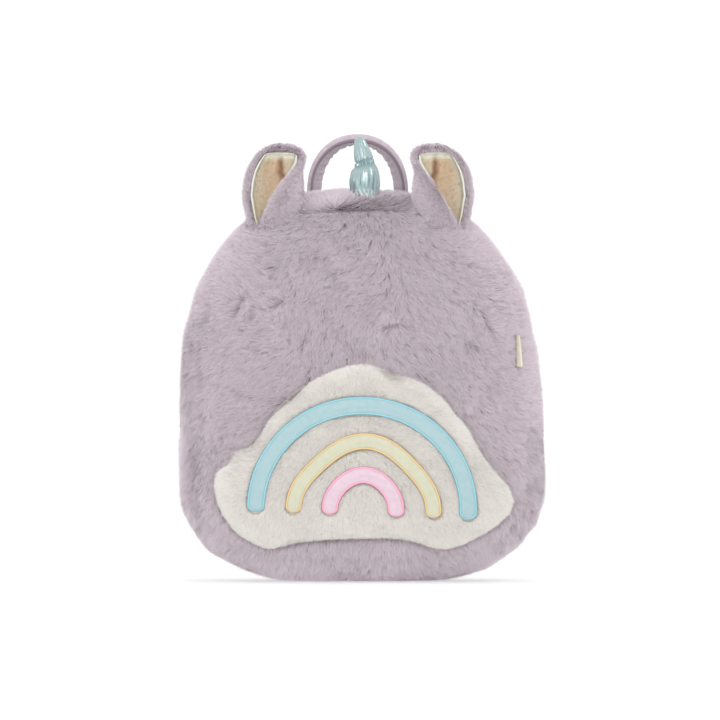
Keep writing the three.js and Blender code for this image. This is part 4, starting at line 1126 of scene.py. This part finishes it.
def zip_point(angle, share, below):
    x, z = outline(angle, gusset_inset(angle, share) + below)
    y = (-FRONT_SEAM_DEPTH + ZIP_DEPTH * share) * depth_share(z)
    return np.stack([x + lean_at(z), np.broadcast_to(y, x.shape), z], -1)


def angle_at(height):
    turn = np.linspace(-np.pi / 2, np.pi / 2, 4001)
    return float(np.interp(height, outline(turn, 0)[1], turn))


def even_angles(pitch, start):
    """Angles at an even distance along the arch, from one join to the other."""
    turn = np.linspace(start, np.pi - start, 6001)
    path = zip_point(turn, ZIP_SHARE, ZIP_SINK)
    along = np.r_[0, np.cumsum(np.linalg.norm(np.diff(path, axis=0), axis=1))]
    return np.interp(np.linspace(0, along[-1], int(along[-1] / pitch)), along, turn)


def zip_pieces():
    start = angle_at(BAND_JOIN_HEIGHT + 0.5)
    turn = even_angles(3, start)
    half = ZIP_WIDTH / ZIP_DEPTH / 2 - 0.007
    shares = np.linspace(ZIP_SHARE - half, ZIP_SHARE + half, 9)

    def at(below):
        grid = np.stack([zip_point(turn, s, below) for s in shares], 1)
        return placed(grid.reshape(-1, 3)).reshape(grid.shape)

    points, faces = thick_sheet(at(ZIP_SINK)[:, ::-1], at(ZIP_SINK + 1.2)[:, ::-1])
    add_piece("zip_tape_cloth", points, faces, ZIP_CLOTH, ["zip_tape"])

    turn = even_angles(TOOTH_PITCH, start)
    path = zip_point(turn, ZIP_SHARE, ZIP_SINK - 0.1)
    along = unit(np.gradient(path, axis=0))
    out = unit(zip_point(turn, ZIP_SHARE, 0) - path)
    aside = np.cross(along, out)
    points, faces = [], []
    for i in range(len(turn)):
        shift = 0.55 if i % 2 else -0.55
        first = len(points)
        for a in (-0.42, 0.42):
            for b in (-1.35, 1.35):
                for c in (0, 1.1):
                    narrow = 1 - 0.25 * c
                    over = aside[i] * (b * narrow + shift)
                    points.append(path[i] + along[i] * a * narrow + over + out[i] * c)
        for quad in ((0, 1, 3, 2), (4, 6, 7, 5), (0, 4, 5, 1), (2, 3, 7, 6), (0, 2, 6, 4), (1, 5, 7, 3)):
            faces.append([first + k for k in quad])
    add_piece("zip_teeth", placed(points), faces, TEETH)


zip_pieces()


def rounded_loops(rows, power=3.0, around=28):
    """Loops in the plane across: each row is along, half width, half thickness, lift."""
    turn = np.linspace(0, 2 * np.pi, around, endpoint=False)
    c, s = np.cos(turn), np.sin(turn)
    wide = np.sign(c) * np.abs(c) ** (2 / power)
    tall = np.sign(s) * np.abs(s) ** (2 / power)
    loops = []
    for along, half, thick, lift in rows:
        loops.append([(along, half * w, lift + thick * t) for w, t in zip(wide, tall)])
    return np.array(loops)


SLIDER_BODY = [  # along, half width, half thickness, lift
    (0, 1.6, 0.6, 1.1), (0.5, 2.4, 1.0, 1.3), (2, 2.7, 1.2, 1.4), (5, 2.9, 1.25, 1.4),
    (7.5, 2.9, 1.2, 1.4), (8.6, 2.2, 1.0, 1.2), (9, 1.4, 0.6, 1.1),
]
SLIDER_PULL = [
    (6.6, 0.9, 0.4, 2.9), (7.2, 1.5, 0.6, 2.75), (9.5, 1.7, 0.65, 2.2), (14, 1.85, 0.7, 1.9),
    (21, 1.95, 0.8, 1.8), (23.2, 1.7, 0.7, 1.8), (23.9, 1.0, 0.4, 1.8),
]


def zip_slider():
    angle = np.pi - angle_at(SLIDER_HEIGHT)
    place = zip_point(np.array([angle]), ZIP_SHARE, ZIP_SINK - 0.3)[0]
    ahead = zip_point(np.array([angle - 9 / BODY_WIDTH]), ZIP_SHARE, ZIP_SINK)[0]
    here = zip_point(np.array([angle]), ZIP_SHARE, ZIP_SINK)[0]
    along = unit(ahead - here)
    out = unit(zip_point(np.array([angle]), ZIP_SHARE, 0)[0] - here)
    side = np.cross(along, out)
    points, faces = [], []
    for rows in (SLIDER_BODY, SLIDER_PULL):
        own, around = loft(rounded_loops(through(rows, False, 26)))
        first = len(points)
        points.extend(place + p[0] * along + p[1] * side + p[2] * out for p in own)
        faces.extend([first + k for k in face] for face in around)
    add_piece("zip_slider_pull", placed(points), faces, SLIDER, ["zip_slider"])


zip_slider()

# Padded back

BACK_TONES = (srgb(168, 153, 164), srgb(196, 183, 192))
BACK_CLOTH = woven("back_cloth", *BACK_TONES, 0.0011, 0.9, 0.45, Sheen_Weight=0.15)
BINDING_TONES = (srgb(150, 134, 146), srgb(182, 168, 178))
BINDING = woven("back_binding", *BINDING_TONES, 0.0008, 0.85, 0.4, Sheen_Weight=0.15)
QUILT_HEIGHTS = (62, 118, 174)
BACK_THICK = 4
SETTLE_PRESSURE = 2.5
SETTLE_FRAMES = 20
SETTLE_CAP = 2.2  # no point of the cloth moves further than this
BINDING_RADIUS = 1.4


def back_skin(turn, share):
    x, z = outline(turn, seam_inset(turn, BACK_SEAM_INSET))
    z = PANEL_CENTRE_HEIGHT + (z - PANEL_CENTRE_HEIGHT) * share
    x = x * share
    y = (BACK_SEAM_DEPTH + dome(BACK_DOME, share)) * depth_share(z)
    return np.stack([x + lean_at(z), y, z], -1)


def settle(piece, pinned, pressure, frames, cap):
    """Runs a cloth under pressure from its own shape, and keeps it, with no point moved past the cap."""
    before = np.empty(3 * len(piece.data.vertices))
    piece.data.vertices.foreach_get("co", before)
    group = piece.vertex_groups.new(name="sewn")
    for index, weight in enumerate(pinned):
        if weight > 0:
            group.add([index], float(weight), "REPLACE")
    cloth = piece.modifiers.new("cloth", "CLOTH")
    cloth.settings.quality = 5
    cloth.settings.mass = 0.2
    cloth.settings.tension_stiffness = 12
    cloth.settings.compression_stiffness = 12
    cloth.settings.bending_stiffness = 0.4
    cloth.settings.use_pressure = True
    cloth.settings.uniform_pressure_force = pressure
    cloth.settings.vertex_group_mass = "sewn"
    cloth.settings.effector_weights.gravity = 0
    cloth.collision_settings.use_collision = False
    cloth.point_cache.frame_start = 1
    cloth.point_cache.frame_end = frames
    for step in range(1, frames + 1):
        bpy.context.scene.frame_set(step)
    posed = piece.evaluated_get(bpy.context.evaluated_depsgraph_get())
    after = np.empty_like(before)
    posed.data.vertices.foreach_get("co", after)
    piece.modifiers.clear()
    piece.vertex_groups.clear()
    move = (after - before).reshape(-1, 3)
    length = np.linalg.norm(move, axis=1, keepdims=True)
    move *= np.minimum(1, cap / np.maximum(length, 1e-9))
    piece.data.vertices.foreach_set("co", before + move.ravel())
    piece.data.update()
    bpy.context.scene.frame_set(1)


def back_panel():
    around, rings = 200, 46
    turn = np.linspace(0, 2 * np.pi, around, endpoint=False)
    share = np.linspace(0, 0.985, rings) ** 0.75
    front = np.stack([back_skin(turn, s) for s in share[1:]], 0)
    x, z = front[..., 0], front[..., 2]
    sewn = np.zeros(z.shape)
    for height in QUILT_HEIGHTS:
        sewn = np.maximum(sewn, np.exp(-(((z - height) / 1.6) ** 2)) * (np.abs(x) < 96))
    edge = np.clip((share[1:, None] - 0.9) / 0.08, 0, 1)
    front[..., 1] += 0.8 * (1 - edge) - 1.6 * sewn
    back = front.copy()
    back[..., 1] = front[..., 1] - BACK_THICK
    loops = np.concatenate([front[::1], back[::-1]], 0)
    points, faces = loft(placed(loops))
    pinned = np.r_[np.maximum(sewn, edge > 0.5).ravel(), np.ones(back.shape[0] * around), 0, 1]
    piece = add_piece("back_panel_pad", points, faces, BACK_CLOTH, ["back_panel"])
    settle(piece, pinned, SETTLE_PRESSURE, SETTLE_FRAMES, SETTLE_CAP * MM)

    turn = np.linspace(0, 2 * np.pi, 420, endpoint=False)
    path = back_skin(turn, np.full(turn.shape, 1.0))
    outward = path - (0, 0, PANEL_CENTRE_HEIGHT)
    outward[:, 1] = 0
    outward = unit(outward)
    loops = []
    for i, point in enumerate(path):
        ring = []
        for a in np.linspace(0, 2 * np.pi, 10, endpoint=False):
            aside, behind = BINDING_RADIUS * math.cos(a) - 0.8, BINDING_RADIUS * math.sin(a) + 0.6
            ring.append(point + outward[i] * aside + (0, behind, 0))
        loops.append(ring)
    loops = placed(np.array(loops).reshape(-1, 3)).reshape(len(loops), -1, 3)
    points, faces = loft(loops, ring=True)
    add_piece("back_binding", points, faces, BINDING)


back_panel()

# Straps

STRAP_WIDTH = 32
STRAP_THICK = 7
STRAP_STAND_OFF = 20
WEBBING_WIDTH = 20
WEBBING_THICK = 1.8
ADJUSTER_WIDTH = 27
ADJUSTER_LENGTH = 14
PAD_END_SHARE = 0.67
STRAP_ROUTE = [  # up, across, off
    (0.86, 0.2, -0.35),
    (0.885, 0.2, 0.3),
    (0.86, 0.21, 0.85),
    (0.74, 0.25, 1.1),
    (0.58, 0.32, 1.0),
    (0.43, 0.41, 0.75),
    (0.33, 0.48, 0.55),
    (0.22, 0.56, 0.3),
    (0.11, 0.64, -0.15),
]
WEBBING = woven("webbing_cloth", srgb(150, 134, 146), srgb(186, 172, 181), 0.0009, 0.8, 0.6)
PLASTIC = mottled("adjuster_plastic", srgb(158, 143, 154), srgb(176, 162, 171), 0.006, 0.45, 0.12)


def strap_route():
    knots = []
    for up, across, off in STRAP_ROUTE:
        z = up * BODY_HEIGHT
        y = (BACK_SEAM_DEPTH + BACK_DOME) * depth_share(z) + off * STRAP_STAND_OFF
        knots.append((across * BODY_WIDTH / 2, y, z))
    return through(knots, False, 1201)


route = strap_route()
route_length = np.linalg.norm(np.diff(route, axis=0), axis=1).sum()
route_along = unit(np.gradient(route, axis=0))


def route_frame(shares):
    where = np.asarray(shares) * (len(route) - 1)
    place = np.stack([np.interp(where, np.arange(len(route)), route[:, k]) for k in range(3)], -1)
    along = unit(np.stack([np.interp(where, np.arange(len(route)), route_along[:, k]) for k in range(3)], -1))
    side = unit(np.array([1.0, 0, 0]) - along[:, :1] * along)
    return place, along, side, np.cross(side, along)


def strap_piece(name, side, shares, section, surface, nodes, bow=None):
    place, _, aside, out = route_frame(shares)
    if bow is not None:
        place = place + out * bow[:, None]
    loops = place[:, None] + aside[:, None] * section[..., 0:1] + out[:, None] * section[..., 1:2]
    loops[..., 0] *= side
    points, faces = loft(placed(loops))
    if side < 0:
        faces = [tuple(reversed(face)) for face in faces]
    rows, around = section.shape[:2]
    places = np.vstack([grid_map(rows, around), MAP_ENDS])
    return add_piece(name, points, faces, surface, nodes, places=places)


def pad_section(shares):
    """The pad's sections: puffed between two stitched lines, with a bound edge outside each."""
    s = np.r_[np.linspace(-1, 1, 33), np.linspace(1, -1, 33)[1:-1]]
    over = np.r_[np.ones(33), -np.ones(31)]
    inside = np.clip(1 - (np.abs(s) / 0.84) ** 4, 0, 1) ** 0.5
    bound = np.sqrt(np.clip(1 - ((np.abs(s) - 0.93) / 0.07) ** 2, 0, 1))
    half = np.where(np.abs(s) < 0.85, 0.3 + 0.7 * inside, 0.28 + 0.2 * bound)
    half = np.where(np.abs(s) > 0.999, 0, half)
    run = np.asarray(shares)[:, None] * route_length
    puff = 1 + 0.05 * np.sin(run * 0.33 + 3 * s) * inside + 0.04 * np.sin(run * 0.71 - 4 * s + 1) * inside
    width = STRAP_WIDTH / 2 * (1 + 0.012 * np.sin(run * 0.21))
    ends = np.minimum(1, 0.45 + np.minimum(run, PAD_END_SHARE * route_length - run) / 5)
    return np.stack([s * width, over * half * puff * ends * STRAP_THICK / 2], -1)


def flat_section(count, width, thick):
    turn = np.linspace(0, 2 * np.pi, 28, endpoint=False)
    c, s = np.cos(turn), np.sin(turn)
    wide = np.sign(c) * np.abs(c) ** 0.35 * width / 2
    high = np.sign(s) * np.abs(s) ** 0.6 * thick / 2
    shape = np.stack([wide, high], -1)
    return np.broadcast_to(shape, (count, *shape.shape)).copy()


def adjuster(word, side):
    share = PAD_END_SHARE + (0.3 + ADJUSTER_LENGTH / 2) / route_length
    (place,), (along,), (aside,), (out,) = route_frame([share])
    parts = []
    turn = np.linspace(0, 2 * np.pi, 64, endpoint=False)
    round_x = np.sign(np.cos(turn)) * np.abs(np.cos(turn)) ** 0.5 * (ADJUSTER_WIDTH / 2 - 1.7)
    round_y = np.sign(np.sin(turn)) * np.abs(np.sin(turn)) ** 0.5 * (ADJUSTER_LENGTH / 2 - 1.7)
    path = np.stack([round_x, round_y], 1)
    way = unit(np.roll(path, -1, 0) - np.roll(path, 1, 0))
    aside2 = np.stack([way[:, 1], -way[:, 0]], 1)
    a = np.linspace(0, 2 * np.pi, 14, endpoint=False)
    ring = []
    for p, n in zip(path, aside2):
        flat = [p + n * 1.6 * math.cos(t) for t in a]
        ring.append([(x, y, 1.9 * math.sin(t)) for (x, y), t in zip(flat, a)])
    parts.append(loft(ring, ring=True))
    bar = []
    for w in np.linspace(-ADJUSTER_WIDTH / 2 + 1.8, ADJUSTER_WIDTH / 2 - 1.8, 12):
        bar.append([(w, 1.5 * math.cos(t), 1.5 * math.sin(t)) for t in a])
    parts.append(loft(bar))
    points, faces = [], []
    for own, around in parts:
        first = len(points)
        points.extend(place + p[0] * aside + p[1] * along + p[2] * out for p in own)
        faces.extend(tuple(first + k for k in face) for face in around)
    points = np.array(points)
    points[:, 0] *= side
    if side < 0:
        faces = [tuple(reversed(face)) for face in faces]
    name = "strap_adjuster_" + word
    add_piece(name + "_frame", placed(points), faces, PLASTIC, [name])


for word, side in (("left", -1), ("right", 1)):
    shares = np.linspace(0, PAD_END_SHARE, 120)
    name = "shoulder_strap_" + word
    pad = strap_piece(name + "_pad", side, shares, pad_section(shares), BACK_CLOTH, [name])
    shares = np.linspace(PAD_END_SHARE - 2 / route_length, 1, 110)
    middle = PAD_END_SHARE + (0.3 + ADJUSTER_LENGTH / 2) / route_length
    bow = 2.4 * np.exp(-(((shares - middle) * route_length / 3.2) ** 2))
    strap_piece(
        "strap_webbing_" + word + "_tape", side, shares, flat_section(110, WEBBING_WIDTH, WEBBING_THICK),
        WEBBING, ["strap_webbing_" + word], bow,
    )
    adjuster(word, side)


# The stage

camera_data = bpy.data.cameras.new("camera")
camera = bpy.data.objects.new("camera", camera_data)
bpy.context.collection.objects.link(camera)
camera.location = (CAMERA_AIM[0], -CAMERA_DISTANCE, CAMERA_AIM[1])
camera.rotation_euler = (math.pi / 2, 0, 0)
camera_data.lens = camera_data.sensor_width * CAMERA_DISTANCE / (PHOTO_PX * MM_PER_PX * MM)
camera_data.clip_end = 50
bpy.context.scene.camera = camera

bpy.ops.mesh.primitive_plane_add(size=24)
floor = bpy.context.object
floor.name = "floor"
FLOOR = new_material("floor_white", (0.5, 0.5, 0.5, 1), 1.0, Specular_IOR_Level=0.0, Emission_Strength=0.55)
shader_of(FLOOR).inputs["Emission Color"].default_value = (1, 1, 1, 1)
floor.data.materials.append(FLOOR)

world = bpy.data.worlds.new("studio")
bpy.context.scene.world = world
world.use_nodes = True
world.node_tree.nodes["Background"].inputs["Color"].default_value = (1, 1, 1, 1)
world.node_tree.nodes["Background"].inputs["Strength"].default_value = 1.08


def area_light(name, place, aim, size, energy):
    data = bpy.data.lights.new(name, "AREA")
    data.shape = "DISK"
    data.size = size
    data.energy = energy
    lamp = bpy.data.objects.new(name, data)
    bpy.context.collection.objects.link(lamp)
    lamp.location = place
    lamp.rotation_euler = (Vector(aim) - Vector(place)).to_track_quat("-Z", "Y").to_euler()


area_light("key", (0.4, -2.0, 1.3), (0, 0, 0.15), 0.9, 10)
area_light("fill_low", (0, -2.6, 0.3), (0, 0, 0.05), 1.6, 14)
area_light("fill_left", (-2.2, -1.6, 0.5), (0, 0, 0.12), 1.2, 5)
bpy.context.scene.view_settings.view_transform = "Standard"
